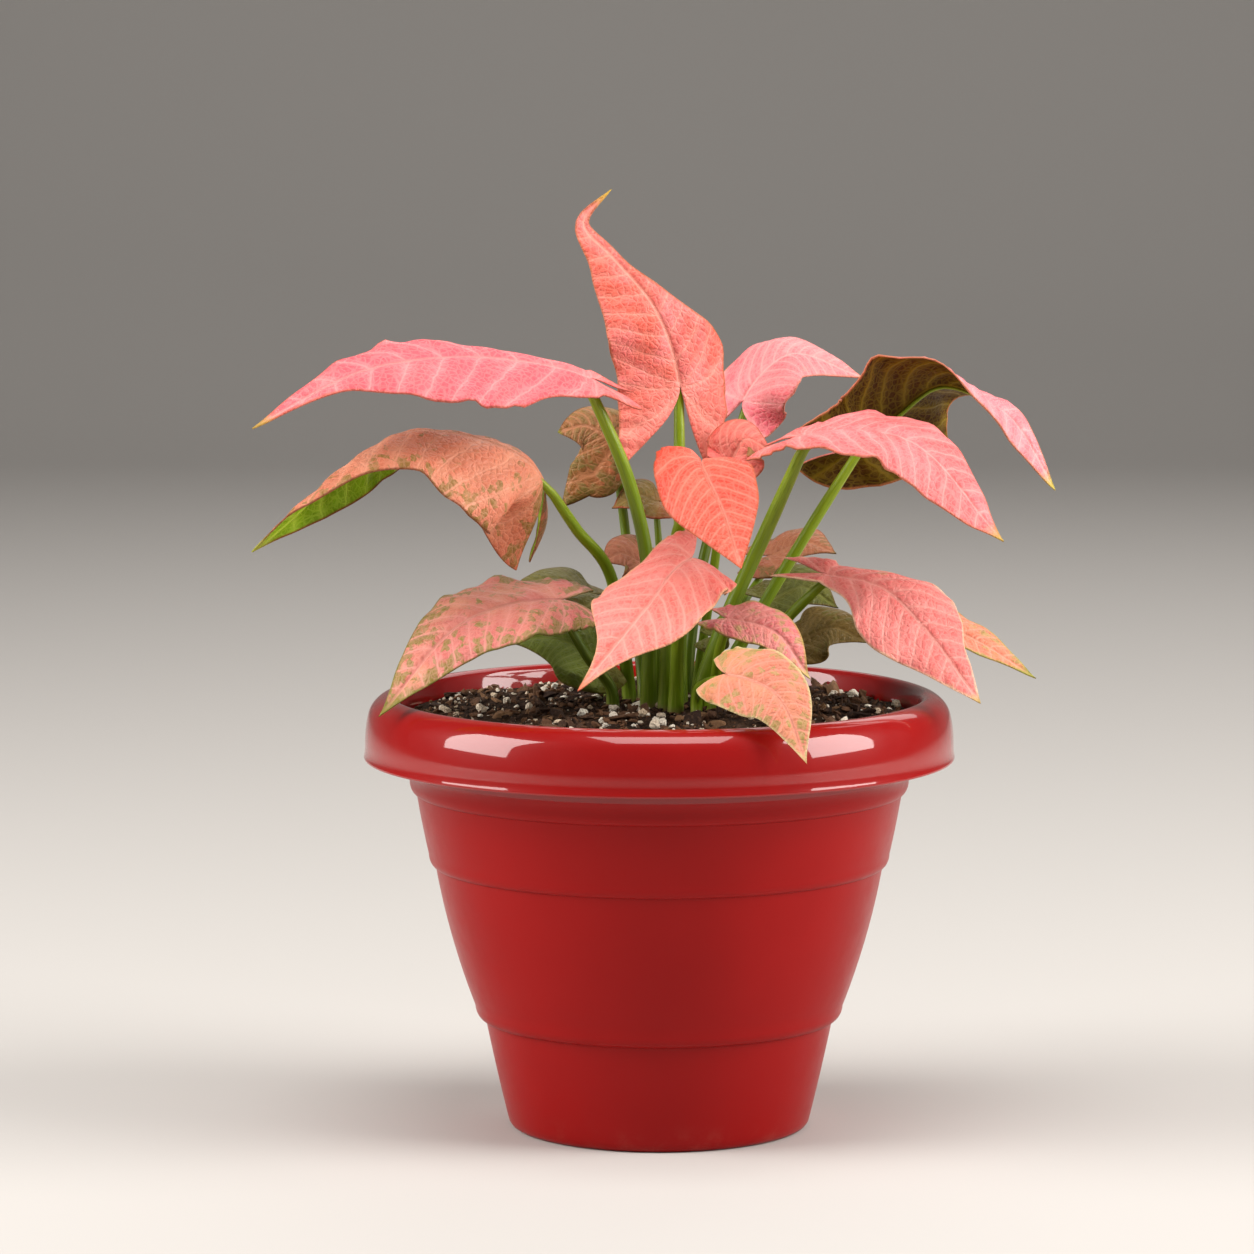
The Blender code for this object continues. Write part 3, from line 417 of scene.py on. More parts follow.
# Colours are linear. For each blade: two ground tones, vein, mottle tone and amount (0 to 1),
# margin, tip, underside, underside vein, and how far the tip colour reaches back.
PINK = ((0.83, 0.26, 0.25), (0.76, 0.17, 0.17), (0.92, 0.50, 0.44))
LOOKS = {
    "top": dict(a=(0.82, 0.205, 0.205), b=(0.76, 0.113, 0.072), vein=(0.9, 0.374, 0.284), mottle=(0.33, 0.14, 0.03), amount=0.10, margin=(0.42, 0.13, 0.05), tip=(0.62, 0.40, 0.05), reach=0.12, base=(0.82, 0.19, 0.15), under=(0.34, 0.16, 0.05), uvein=(0.50, 0.26, 0.10)),
    "upper_left": dict(a=(0.84, 0.166, 0.184), b=(0.78, 0.104, 0.136), vein=(0.93, 0.404, 0.378), mottle=(0.40, 0.13, 0.05), amount=0.05, margin=(0.50, 0.12, 0.07), tip=(0.45, 0.28, 0.06), reach=0.10, base=(0.84, 0.18, 0.16), under=(0.30, 0.12, 0.06), uvein=(0.45, 0.25, 0.10)),
    "mid_left": dict(a=(0.76, 0.31, 0.19), b=(0.64, 0.20, 0.11), vein=(0.8, 0.346, 0.225), mottle=(0.25, 0.15, 0.03), amount=0.55, margin=(0.22, 0.06, 0.02), tip=(0.30, 0.30, 0.04), reach=0.10, base=(0.62, 0.202, 0.096), under=(0.25, 0.44, 0.006), uvein=(0.46, 0.62, 0.06)),
    "back_left": dict(a=(0.22, 0.095, 0.014), b=(0.15, 0.062, 0.008), vein=(0.62, 0.259, 0.135), mottle=(0.14, 0.11, 0.02), amount=0.7, margin=(0.16, 0.06, 0.02), tip=(0.30, 0.30, 0.04), reach=0.1, base=(0.55, 0.153, 0.07), under=(0.16, 0.17, 0.02), uvein=(0.30, 0.30, 0.07)),
    "back_right": dict(a=(0.85, 0.223, 0.238), b=(0.8, 0.149, 0.175), vein=(0.93, 0.446, 0.408), mottle=(0.50, 0.30, 0.20), amount=0.18, margin=(0.60, 0.22, 0.14), tip=(0.20, 0.15, 0.03), reach=0.06, base=(0.82, 0.0806, 0.14), under=(0.32, 0.20, 0.08), uvein=(0.5, 0.3, 0.15)),
    "upper_right": dict(a=(0.86, 0.252, 0.288), b=(0.82, 0.185, 0.216), vein=(0.93, 0.452, 0.432), mottle=(0.5, 0.3, 0.15), amount=0.08, margin=(0.45, 0.16, 0.06), tip=(0.55, 0.45, 0.08), reach=0.10, base=(0.82, 0.207, 0.176), under=(0.068, 0.019, 0.0006), uvein=(0.26, 0.17, 0.010)),
    "right": dict(a=(0.85, 0.185, 0.198), b=(0.8, 0.125, 0.129), vein=(0.93, 0.415, 0.378), mottle=(0.42, 0.22, 0.14), amount=0.10, margin=(0.50, 0.15, 0.07), tip=(0.50, 0.32, 0.06), reach=0.10, base=(0.83, 0.145, 0.122), under=(0.20, 0.15, 0.02), uvein=(0.42, 0.30, 0.08)),
    "centre": dict(a=(0.78, 0.102, 0.062), b=(0.66, 0.05, 0.028), vein=(0.88, 0.306, 0.219), mottle=(0.45, 0.10, 0.03), amount=0.10, margin=(0.45, 0.10, 0.04), tip=(0.60, 0.12, 0.05), reach=0.08, base=(0.8, 0.105, 0.062), under=(0.30, 0.12, 0.04), uvein=(0.5, 0.25, 0.1)),
    "centre_back": dict(a=(0.8, 0.128, 0.112), b=(0.62, 0.075, 0.056), vein=(0.86, 0.315, 0.238), mottle=(0.4, 0.12, 0.04), amount=0.2, margin=(0.42, 0.09, 0.04), tip=(0.5, 0.2, 0.05), reach=0.08, base=(0.82, 0.135, 0.126), under=(0.25, 0.10, 0.03), uvein=(0.4, 0.2, 0.08)),
    "front": dict(a=(0.85, 0.215, 0.192), b=(0.8, 0.148, 0.12), vein=(0.93, 0.435, 0.36), mottle=(0.75, 0.25, 0.10), amount=0.15, margin=(0.72, 0.38, 0.20), tip=(0.70, 0.18, 0.09), reach=0.15, base=(0.82, 0.163, 0.144), under=(0.32, 0.16, 0.05), uvein=(0.5, 0.3, 0.12)),
    "lower_left": dict(a=(0.72, 0.284, 0.17), b=(0.66, 0.179, 0.153), vein=(0.85, 0.369, 0.315), mottle=(0.24, 0.20, 0.035), amount=0.60, margin=(0.16, 0.17, 0.02), tip=(0.20, 0.18, 0.03), reach=0.2, base=(0.8, 0.21, 0.204), under=(0.10, 0.11, 0.012), uvein=(0.25, 0.25, 0.06)),
    # shaded_left: its own green, darkened with painted shade for the shade deep in the plant.
    "shaded_left": dict(a=(0.11, 0.095, 0.0075), b=(0.07, 0.0665, 0.004), vein=(0.24, 0.20, 0.06), mottle=(0.16, 0.08, 0.03), amount=0.3, margin=(0.15, 0.07, 0.02), tip=(0.1, 0.1, 0.02), reach=0.1, base=(0.12, 0.08, 0.02), under=(0.06, 0.07, 0.01), uvein=(0.2, 0.2, 0.05)),
    "green_left": dict(a=(0.12, 0.162, 0.006), b=(0.075, 0.104, 0.004), vein=(0.30, 0.34, 0.08), mottle=(0.22, 0.15, 0.04), amount=0.25, margin=(0.15, 0.12, 0.02), tip=(0.15, 0.2, 0.02), reach=0.1, base=(0.16, 0.10, 0.02), under=(0.08, 0.10, 0.01), uvein=(0.25, 0.3, 0.06)),
    "front_right": dict(a=(0.70, 0.262, 0.135), b=(0.62, 0.18, 0.105), vein=(0.84, 0.336, 0.256), mottle=(0.30, 0.26, 0.06), amount=0.55, margin=(0.62, 0.52, 0.26), tip=(0.50, 0.35, 0.14), reach=0.1, base=(0.55, 0.272, 0.096), under=(0.30, 0.25, 0.08), uvein=(0.5, 0.4, 0.15)),
    "small_right": dict(a=(0.78, 0.23, 0.192), b=(0.76, 0.144, 0.16), vein=(0.88, 0.396, 0.342), mottle=(0.40, 0.32, 0.08), amount=0.35, margin=(0.40, 0.30, 0.06), tip=(0.65, 0.52, 0.18), reach=0.14, base=(0.82, 0.158, 0.192), under=(0.22, 0.20, 0.04), uvein=(0.4, 0.35, 0.1)),
    "lower_right": dict(a=(0.84, 0.218, 0.2), b=(0.8, 0.163, 0.148), vein=(0.92, 0.42, 0.357), mottle=(0.62, 0.34, 0.18), amount=0.22, margin=(0.84, 0.56, 0.36), tip=(0.50, 0.34, 0.10), reach=0.07, base=(0.66, 0.0952, 0.0888), under=(0.32, 0.17, 0.06), uvein=(0.5, 0.3, 0.12)),
    "far_right": dict(a=(0.80, 0.222, 0.12), b=(0.75, 0.165, 0.09), vein=(0.9, 0.432, 0.31), mottle=(0.30, 0.28, 0.06), amount=0.35, margin=(0.36, 0.34, 0.07), tip=(0.34, 0.32, 0.06), reach=0.2, base=(0.8, 0.198, 0.121), under=(0.20, 0.20, 0.03), uvein=(0.4, 0.38, 0.1)),
    # The shaded_ leaves below: their own green and dusky colours, darkened with painted shade for the shade deep in the
    # plant.
    "shaded_right_low": dict(a=(0.15, 0.0855, 0.01), b=(0.09, 0.057, 0.005), vein=(0.26, 0.17, 0.06), mottle=(0.10, 0.10, 0.012), amount=0.4, margin=(0.2, 0.12, 0.03), tip=(0.14, 0.12, 0.02), reach=0.1, base=(0.15, 0.08, 0.02), under=(0.07, 0.06, 0.01), uvein=(0.2, 0.16, 0.05)),
    "shaded_right_mid": dict(a=(0.1, 0.095, 0.007), b=(0.06, 0.0712, 0.004), vein=(0.2, 0.2, 0.05), mottle=(0.14, 0.08, 0.02), amount=0.3, margin=(0.14, 0.08, 0.02), tip=(0.1, 0.1, 0.02), reach=0.1, base=(0.12, 0.1, 0.02), under=(0.06, 0.07, 0.01), uvein=(0.2, 0.2, 0.05)),
    "shaded_right_high": dict(a=(0.4, 0.128, 0.063), b=(0.26, 0.0765, 0.0315), vein=(0.5, 0.222, 0.119), mottle=(0.14, 0.10, 0.02), amount=0.4, margin=(0.22, 0.08, 0.03), tip=(0.2, 0.12, 0.03), reach=0.1, base=(0.4, 0.102, 0.056), under=(0.12, 0.08, 0.02), uvein=(0.3, 0.2, 0.07)),
    "shaded_centre_left": dict(a=(0.46, 0.145, 0.077), b=(0.3, 0.085, 0.042), vein=(0.55, 0.241, 0.145), mottle=(0.15, 0.09, 0.02), amount=0.3, margin=(0.25, 0.08, 0.03), tip=(0.2, 0.1, 0.03), reach=0.1, base=(0.5, 0.128, 0.084), under=(0.12, 0.08, 0.02), uvein=(0.3, 0.2, 0.07)),
    "shaded_centre": dict(a=(0.2, 0.114, 0.015), b=(0.12, 0.076, 0.0075), vein=(0.3, 0.2, 0.07), mottle=(0.12, 0.11, 0.015), amount=0.3, margin=(0.35, 0.07, 0.03), tip=(0.2, 0.1, 0.03), reach=0.1, base=(0.4, 0.1, 0.05), under=(0.10, 0.08, 0.015), uvein=(0.25, 0.2, 0.05)),
    "small_green": dict(a=(0.12, 0.142, 0.0075), b=(0.08, 0.095, 0.005), vein=(0.26, 0.28, 0.07), mottle=(0.14, 0.08, 0.02), amount=0.2, margin=(0.14, 0.12, 0.02), tip=(0.1, 0.1, 0.02), reach=0.1, base=(0.12, 0.1, 0.02), under=(0.07, 0.09, 0.01), uvein=(0.2, 0.22, 0.05)),
}


# ---------------------------------------------------------------- node helpers
class Graph:
    def __init__(self, name, roughness=0.5, **shader):
        self.mat = bpy.data.materials.new(name)
        self.mat.use_nodes = True
        self.tree = self.mat.node_tree
        self.shader = self.tree.nodes["Principled BSDF"]
        self.shader.inputs["Roughness"].default_value = roughness
        for key, value in shader.items():
            self.shader.inputs[key.replace("_", " ")].default_value = value

    def put(self, socket, value):
        if hasattr(value, "is_output"):
            self.tree.links.new(value, socket)
        elif hasattr(socket.default_value, "__len__") and not hasattr(value, "__len__"):
            socket.default_value = (value,) * len(socket.default_value)
        elif hasattr(socket.default_value, "__len__") and len(socket.default_value) == 4:
            socket.default_value = (*value[:3], 1.0)
        else:
            socket.default_value = value

    def node(self, kind, **settings):
        made = self.tree.nodes.new(kind)
        for key, value in settings.items():
            setattr(made, key, value)
        return made

    def attr(self, name):
        return self.node("ShaderNodeAttribute", attribute_name=name).outputs["Fac"]

    def vec(self, name):
        return self.node("ShaderNodeAttribute", attribute_name=name).outputs["Vector"]

    def math(self, op, a, b=0.0, c=0.0, clamp=False):
        made = self.node("ShaderNodeMath", operation=op, use_clamp=clamp)
        for socket, value in zip(made.inputs, (a, b, c)):
            self.put(socket, value)
        return made.outputs[0]

    def span(self, value, lo, hi, to_lo=0.0, to_hi=1.0, smooth=True):
        made = self.node("ShaderNodeMapRange", interpolation_type="SMOOTHSTEP" if smooth else "LINEAR")
        for socket, v in zip(made.inputs, (value, lo, hi, to_lo, to_hi)):
            self.put(socket, v)
        return made.outputs[0]

    def mix(self, fac, a, b):
        made = self.node("ShaderNodeMix", data_type="RGBA")
        self.put(made.inputs[0], fac)
        self.put(made.inputs[6], a)
        self.put(made.inputs[7], b)
        return made.outputs[2]

    def noise(self, vector, scale, detail=3.0, rough=0.55):
        made = self.node("ShaderNodeTexNoise")
        self.put(made.inputs["Vector"], vector)
        self.put(made.inputs["Scale"], scale)
        self.put(made.inputs["Detail"], detail)
        self.put(made.inputs["Roughness"], rough)
        return made.outputs["Fac"]

    def voronoi(self, vector, scale, feature="F1", out="Distance", random=1.0):
        made = self.node("ShaderNodeTexVoronoi", feature=feature)
        self.put(made.inputs["Vector"], vector)
        self.put(made.inputs["Scale"], scale)
        self.put(made.inputs["Randomness"], random)
        return made.outputs[out]

    def object_point(self):
        return self.node("ShaderNodeTexCoord").outputs["Object"]

    def warp(self, vector, amount, scale):
        wobble = self.node("ShaderNodeTexNoise")
        self.put(wobble.inputs["Vector"], vector)
        self.put(wobble.inputs["Scale"], scale)
        minus = self.node("ShaderNodeVectorMath", operation="SUBTRACT")
        self.put(minus.inputs[0], wobble.outputs["Color"])
        minus.inputs[1].default_value = (0.5, 0.5, 0.5)
        times = self.node("ShaderNodeVectorMath", operation="SCALE")
        self.put(times.inputs[0], minus.outputs[0])
        times.inputs["Scale"].default_value = amount
        plus = self.node("ShaderNodeVectorMath", operation="ADD")
        self.put(plus.inputs[0], vector)
        self.put(plus.inputs[1], times.outputs[0])
        return plus.outputs[0]

    def bump(self, height, strength, distance):
        made = self.node("ShaderNodeBump")
        self.put(made.inputs["Strength"], strength)
        self.put(made.inputs["Distance"], distance)
        self.put(made.inputs["Height"], height)
        self.tree.links.new(made.outputs[0], self.shader.inputs["Normal"])

    def colour(self, value):
        self.put(self.shader.inputs["Base Color"], value)

    def rough(self, value):
        self.put(self.shader.inputs["Roughness"], value)


def blade_material(name, look, under=False):
    """Veined leaf skin. Lengths in the attributes are millimetres on the flat blade."""
    g = Graph(name, 0.42)
    g.shader.inputs["Specular IOR Level"].default_value = 0.20 if not under else 0.12
    flat = g.vec("flat")
    psi, grad, mid, rim, along, lobe = (g.attr(k) for k in ("psi", "grad", "mid", "rim", "along", "lobe"))
    wobble = g.math("MULTIPLY", g.math("SUBTRACT", g.noise(flat, 0.22, 2), 0.5), 0.28)
    p = g.math("ADD", psi, wobble)
    near = g.math("DIVIDE", g.math("ABSOLUTE", g.math("SUBTRACT", p, g.math("ROUND", p))), grad)
    p2 = g.math("MULTIPLY", p, 3.0)
    near2 = g.math("DIVIDE", g.math("ABSOLUTE", g.math("SUBTRACT", p2, g.math("ROUND", p2))), g.math("MULTIPLY", grad, 3.0))
    lateral = g.span(near, 0.55, 0.12)
    halo = g.span(near, 2.2, 0.2)
    second = g.math("MULTIPLY", g.span(near2, 0.34, 0.06), 0.35)
    midrib = g.span(mid, 1.05, 0.30)
    hem = g.span(g.math("ABSOLUTE", g.math("SUBTRACT", rim, 2.3)), 0.36, 0.08)
    net = g.voronoi(g.warp(flat, 0.9, 0.5), 0.50, "DISTANCE_TO_EDGE", "Distance")
    net_line = g.math("MULTIPLY", g.span(net, 0.16, 0.03), 0.42)
    fine = g.voronoi(g.warp(flat, 0.4, 0.9), 1.35, "DISTANCE_TO_EDGE", "Distance")
    fine_line = g.math("MULTIPLY", g.span(fine, 0.14, 0.03), 0.16)
    veins = g.math("MAXIMUM", g.math("MAXIMUM", g.math("MULTIPLY", lateral, 0.72), midrib),
                   g.math("MAXIMUM", g.math("MAXIMUM", net_line, fine_line), g.math("MAXIMUM", second, g.math("MULTIPLY", hem, 0.4))))
    broad = g.span(g.noise(flat, 0.055, 3), 0.35, 0.66)
    if under:
        ground = g.mix(broad, look["under"], tuple(0.62 * c for c in look["under"]))
        ground = g.mix(g.math("MULTIPLY", halo, 0.35), ground, look["uvein"])
        skin = g.mix(g.math("MULTIPLY", veins, 0.85), ground, look["uvein"])
        skin = g.mix(g.span(rim, 1.0, 0.1), skin, look["margin"])
        skin = g.mix(g.span(along, 1 - look["reach"], 1.0), skin, look["tip"])
        g.colour(skin)
        height = g.math("ADD", g.math("MULTIPLY", veins, 0.8), g.math("MULTIPLY", net, -0.5))
        g.bump(height, 0.5, 0.0005)
        g.rough(g.span(veins, 0.0, 1.0, 0.52, 0.40))
        return g.mat
    ground = g.mix(broad, look["a"], look["b"])
    towards_base = g.span(along, 0.22, -0.35)
    ground = g.mix(g.math("MULTIPLY", towards_base, 0.75), ground, look["base"])
    # paler along the lateral veins, deeper in the fields between
    field = g.math("MULTIPLY", g.span(near, 0.8, 3.6), g.span(mid, 1.0, 5.0))
    ground = g.mix(g.math("MULTIPLY", field, 0.45), ground, tuple(c * k for c, k in zip(look["b"], (0.93, 0.72, 0.70))))
    # mottling in vein-bounded patches, heavier towards the margin
    cell = g.voronoi(g.warp(flat, 1.6, 0.35), 0.42, "F1", "Color")
    split = g.node("ShaderNodeSeparateColor")
    g.put(split.inputs[0], cell)
    pick = g.math("ADD", g.math("MULTIPLY", split.outputs[0], 0.45), g.math("MULTIPLY", g.noise(flat, 0.13, 4, 0.65), 0.9))
    to_rim = g.span(rim, 9.0, 1.0)
    bar = g.math("SUBTRACT", 1.12 - 0.55 * look["amount"], g.math("MULTIPLY", to_rim, 0.30 * min(1.0, 0.35 + look["amount"])))
    spot = g.math("MULTIPLY", g.span(pick, bar, g.math("ADD", bar, 0.14)), g.span(midrib, 0.9, 0.2))
    spot = g.math("MULTIPLY", spot, g.math("SUBTRACT", 1.0, g.math("MULTIPLY", lateral, 0.75)))
    ground = g.mix(g.math("MULTIPLY", spot, min(0.9, 0.45 + look["amount"])), ground, look["mottle"])
    ground = g.mix(g.math("MULTIPLY", halo, 0.16), ground, look["vein"])
    skin = g.mix(g.math("MULTIPLY", veins, 0.62), ground, look["vein"])
    fleck = g.span(g.noise(flat, 1.9, 2), 0.62, 0.78)
    skin = g.mix(g.math("MULTIPLY", fleck, 0.10), skin, look["mottle"])
    skin = g.mix(g.math("MULTIPLY", g.span(g.math("ADD", rim, g.math("MULTIPLY", g.noise(flat, 0.3, 2), 0.9)), 1.35, 0.45), 0.8), skin, look["margin"])
    skin = g.mix(g.span(g.math("ADD", along, g.math("MULTIPLY", g.math("SUBTRACT", g.noise(flat, 0.2, 2), 0.5), 0.08)), 1 - look["reach"], 1.0), skin, look["tip"])
    g.colour(skin)
    height = g.math("SUBTRACT", g.math("MULTIPLY", g.math("MINIMUM", net, 0.35), 1.5), g.math("MULTIPLY", veins, 0.55))
    height = g.math("ADD", height, g.math("MULTIPLY", g.math("MINIMUM", fine, 0.3), 0.35))
    g.bump(height, 0.55, 0.0006)
    g.rough(g.span(g.noise(flat, 0.5, 2), 0.3, 0.7, 0.36, 0.47))
    return g.mat


# ---------------------------------------------------------------- fine blades
def blade_piece(name, blade, look, seed):
    spec = blade.s
    rng = np.random.default_rng(seed)
    small = blade.length < 45
    na, nb, nc = (58, 22, 22) if not small else (44, 18, 18)
    phase = rng.uniform(0, 6.28, 4)
    waves = blade.length / 17.0
    verts, faces, data = [], [], []
    offset = 0
    for side in (-1, 1):
        u = np.arange(na + nb + 1, dtype=float)
        t1 = np.where(u < nb, -np.sin((1 - u / nb) * math.pi / 2) , np.sin(np.clip((u - nb) / na, 0, 1) * math.pi / 2 * 0.92) / math.sin(math.pi / 2 * 0.92))
        v1 = np.linspace(0, 1, nc + 1)
        t, v = np.meshgrid(t1, v1, indexing="ij")
        inner = np.where(t < 0, blade.inner(t, side), 0.0)
        outer = blade.outer(t, side)
        s = inner + (outer - inner) * v
        shape = t.shape
        pts = blade.point(t.ravel(), s.ravel(), side).reshape(*shape, 3)
        # surface normal, pointing to the upper side
        du = np.gradient(pts, axis=0)
        eps = 0.15
        pa = blade.point(t.ravel(), (s + eps).ravel(), side).reshape(*shape, 3)
        dv = pa - pts
        nrm = np.cross(dv, du) * side
        tiny = np.linalg.norm(nrm, axis=-1, keepdims=True)
        up = np.stack([np.interp(t, blade.tau, blade.up[:, k]) for k in range(3)], -1)
        nrm = np.where(tiny > 1e-6, nrm / np.maximum(tiny, 1e-9), up)
        flip = (nrm * up).sum(-1, keepdims=True) < -0.999
        nrm = np.where(flip, -nrm, nrm)
        blend = (np.exp(-(s / 1.2) ** 2) * (t >= 0))[..., None]
        nrm = nrm * (1 - blend) + up * blend
        nrm /= np.maximum(np.linalg.norm(nrm, axis=-1, keepdims=True), 1e-9)
        # flat blade coordinates and vein field
        x = np.where(t < 0, t * blade.lobe, t * blade.length)
        w = blade.half(side)
        spacing = max(blade.length / 9.5, 2.5)
        a, b = 0.50, 0.42
        x0 = x - a * s - b * s * s / w
        g1 = np.sqrt(1 + (a + 2 * b * s / w) ** 2) / spacing
        ang = np.arctan2(-x0, s + 0.8)
        reach = np.sqrt(x0**2 + (s + 0.8) ** 2)
        turn = 3.0 / (math.pi / 2)
        psi = np.where(x0 >= 0, x0 / spacing, -ang * turn)
        grad = np.where(x0 >= 0, g1, np.minimum(turn / np.maximum(reach, 0.8), 1.4))
        mid = np.where(t >= 0, s, np.hypot(s, x) * 1.0 + 0.2)
        rim = np.maximum(outer - s, 0) * 0.95
        rim = np.where(t < 0, np.minimum(rim, (s - inner) + 0.35 + 3 * np.exp(t * 6)), rim)
        rim = np.minimum(rim, (1 - t) * blade.length * 0.5)
        near = np.abs(psi - np.round(psi)) / grad
        soft = np.clip(mid / 3.0, 0, 1) * np.clip(rim / 2.5, 0, 1)
        puff = 0.62 * (1 - np.exp(-((near / 2.0) ** 2))) * soft
        groove = -0.50 * np.exp(-((mid / 1.0) ** 2)) * (t > -0.05) * np.clip((1 - t) * 6, 0, 1)
        rel = np.clip(s / np.maximum(w, 1e-6), 0, 1.2)
        wave = 0.95 * np.sin(2 * math.pi * waves * t + phase[0] + 1.1 * side) * rel**3
        wave += 0.55 * np.sin(2 * math.pi * waves * 1.9 * t + phase[1] + 2.3 * side) * rel**4
        wave *= np.clip((1 - t) * 5, 0, 1) * np.clip((t + 1) * 4, 0.0, 1)
        if small:
            wave *= 0.6
        low = 0.55 * np.sin(x * 0.21 + phase[2] + side) * np.sin(s * 0.30 + phase[3]) * np.clip(mid / 6, 0, 1)
        h = puff + groove + wave + low
        pts = pts + nrm * h[..., None]
        flat = np.stack([x, side * s + (40 if side > 0 else 0), np.full_like(x, seed * 3.1)], -1)
        n_row, n_col = shape
        idx = offset + np.arange(n_row * n_col).reshape(shape)
        q = np.stack([idx[:-1, :-1], idx[1:, :-1], idx[1:, 1:], idx[:-1, 1:]], -1).reshape(-1, 4)
        if side > 0:
            q = q[:, ::-1]
        faces.append(q)
        verts.append(pts.reshape(-1, 3))
        data.append(np.stack([psi, grad, mid, rim, t, (t < 0) * 1.0, flat[..., 0], flat[..., 1], flat[..., 2]], -1).reshape(-1, 9))
        offset += n_row * n_col
    verts, data, faces = np.concatenate(verts) * MM, np.concatenate(data), np.concatenate(faces)
    # weld the midrib and the collapsed ends
    key = np.round(verts / 2e-5).astype(np.int64)
    _, first, back = np.unique(key, axis=0, return_index=True, return_inverse=True)
    back = back.reshape(-1)
    faces = back[faces]
    verts, data = verts[first], data[first]
    clean = []
    for f in faces:
        out = [f[i] for i in range(4) if f[i] != f[i - 1]]
        if len(set(out)) >= 3:
            clean.append(tuple(int(i) for i in out))
    mesh = bpy.data.meshes.new(name)
    mesh.from_pydata(verts.tolist(), [], clean)
    mesh.update()
    for k, label in enumerate(("psi", "grad", "mid", "rim", "along", "lobe")):
        mesh.attributes.new(label, "FLOAT", "POINT").data.foreach_set("value", data[:, k].astype(np.float32))
    mesh.attributes.new("flat", "FLOAT_VECTOR", "POINT").data.foreach_set("vector", data[:, 6:9].astype(np.float32).ravel())
    mesh.shade_smooth()
    obj = bpy.data.objects.new(name, mesh)
    bpy.context.scene.collection.objects.link(obj)
    mesh.materials.append(blade_material("skin_" + name, look))
    mesh.materials.append(blade_material("back_" + name, look, under=True))
    shell = obj.modifiers.new("Thickness", "SOLIDIFY")
    shell.thickness = 0.45 * MM
    shell.offset = 0.0
    shell.material_offset = 1
    shell.material_offset_rim = 0
    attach(obj, "root")
    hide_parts("blade_" + name)
    return obj


# ---------------------------------------------------------------- stalks
def tube_mesh(name, path, radii, sides, extra=None):
    """A tube round a path, closed at both ends, with its run and its turn as attributes."""
    path, radii = np.asarray(path, float), np.asarray(radii, float)
    tan = np.gradient(path, axis=0)
    tan /= np.linalg.norm(tan, axis=1, keepdims=True)
    ref = np.array([0.0, 1.0, 0.0])
    nrm = ref - tan[0] * (tan[0] @ ref)
    nrm /= np.linalg.norm(nrm)
    rings, run = [], np.concatenate([[0], np.cumsum(np.linalg.norm(np.diff(path, axis=0), axis=1))])
    th = np.linspace(0, 2 * math.pi, sides, endpoint=False)
    vals = []
    for i, (c, t) in enumerate(zip(path, tan)):
        nrm = nrm - t * (t @ nrm)
        nrm /= np.linalg.norm(nrm)
        bi = np.cross(t, nrm)
        prof = 1 + (extra(i / (len(path) - 1), th) if extra else 0)
        rings.append(c + radii[i] * (np.cos(th) * prof)[:, None] * nrm + radii[i] * (np.sin(th) * prof)[:, None] * bi)
        vals.append(np.stack([np.full(sides, run[i] / run[-1]), th, np.full(sides, run[i])], -1))
    verts = np.concatenate(rings + [path[:1], path[-1:]])
    vals = np.concatenate(vals + [[[0, 0, 0]], [[1, 0, run[-1]]]])
    faces = []
    n = len(path)
    for i in range(n - 1):
        for j in range(sides):
            k = (j + 1) % sides
            faces.append((i * sides + j, i * sides + k, (i + 1) * sides + k, (i + 1) * sides + j))
    a, b = n * sides, n * sides + 1
    for j in range(sides):
        k = (j + 1) % sides
        faces.append((a, k, j))
        faces.append((b, (n - 1) * sides + j, (n - 1) * sides + k))
    mesh = bpy.data.meshes.new(name)
    mesh.from_pydata((verts * MM).tolist(), [], faces)
    mesh.update()
    mesh.attributes.new("along", "FLOAT", "POINT").data.foreach_set("value", vals[:, 0].astype(np.float32))
    mesh.attributes.new("turn", "FLOAT", "POINT").data.foreach_set("value", vals[:, 1].astype(np.float32))
    mesh.attributes.new("run", "FLOAT", "POINT").data.foreach_set("value", vals[:, 2].astype(np.float32))
    mesh.shade_smooth()
    obj = bpy.data.objects.new(name, mesh)
    bpy.context.scene.collection.objects.link(obj)
    return obj


def stalk_material(name, low, high, lip):
    g = Graph(name, 0.36)
    g.shader.inputs["Subsurface Weight"].default_value = 0.0
    g.shader.inputs["Specular IOR Level"].default_value = 0.28
    along, run = g.attr("along"), g.attr("run")
    comb = g.node("ShaderNodeCombineXYZ")
    g.put(comb.inputs[0], g.math("MULTIPLY", g.math("SINE", g.attr("turn")), 2.0))
    g.put(comb.inputs[1], g.math("MULTIPLY", g.math("COSINE", g.attr("turn")), 2.0))
    g.put(comb.inputs[2], g.math("MULTIPLY", run, 0.05))
    streak = g.noise(comb.outputs[0], 3.2, 3)
    patch = g.noise(comb.outputs[0], 0.9, 2)
    green = g.mix(g.span(along, 0.05, 0.75), low, high)
    green = g.mix(g.math("MULTIPLY", g.span(streak, 0.45, 0.7), 0.45), green, tuple(0.6 * c for c in low))
    green = g.mix(g.math("MULTIPLY", g.span(patch, 0.5, 0.75), 0.35), green, (0.46, 0.50, 0.08))
    green = g.mix(g.span(run, 9.0, 5.5), green, (0.20, 0.16, 0.05))
    green = g.mix(g.span(along, 0.86, 1.0), green, lip)
    g.colour(green)
    g.bump(streak, 0.25, 0.0004)
    g.rough(g.span(patch, 0.3, 0.7, 0.30, 0.42))
    return g.mat


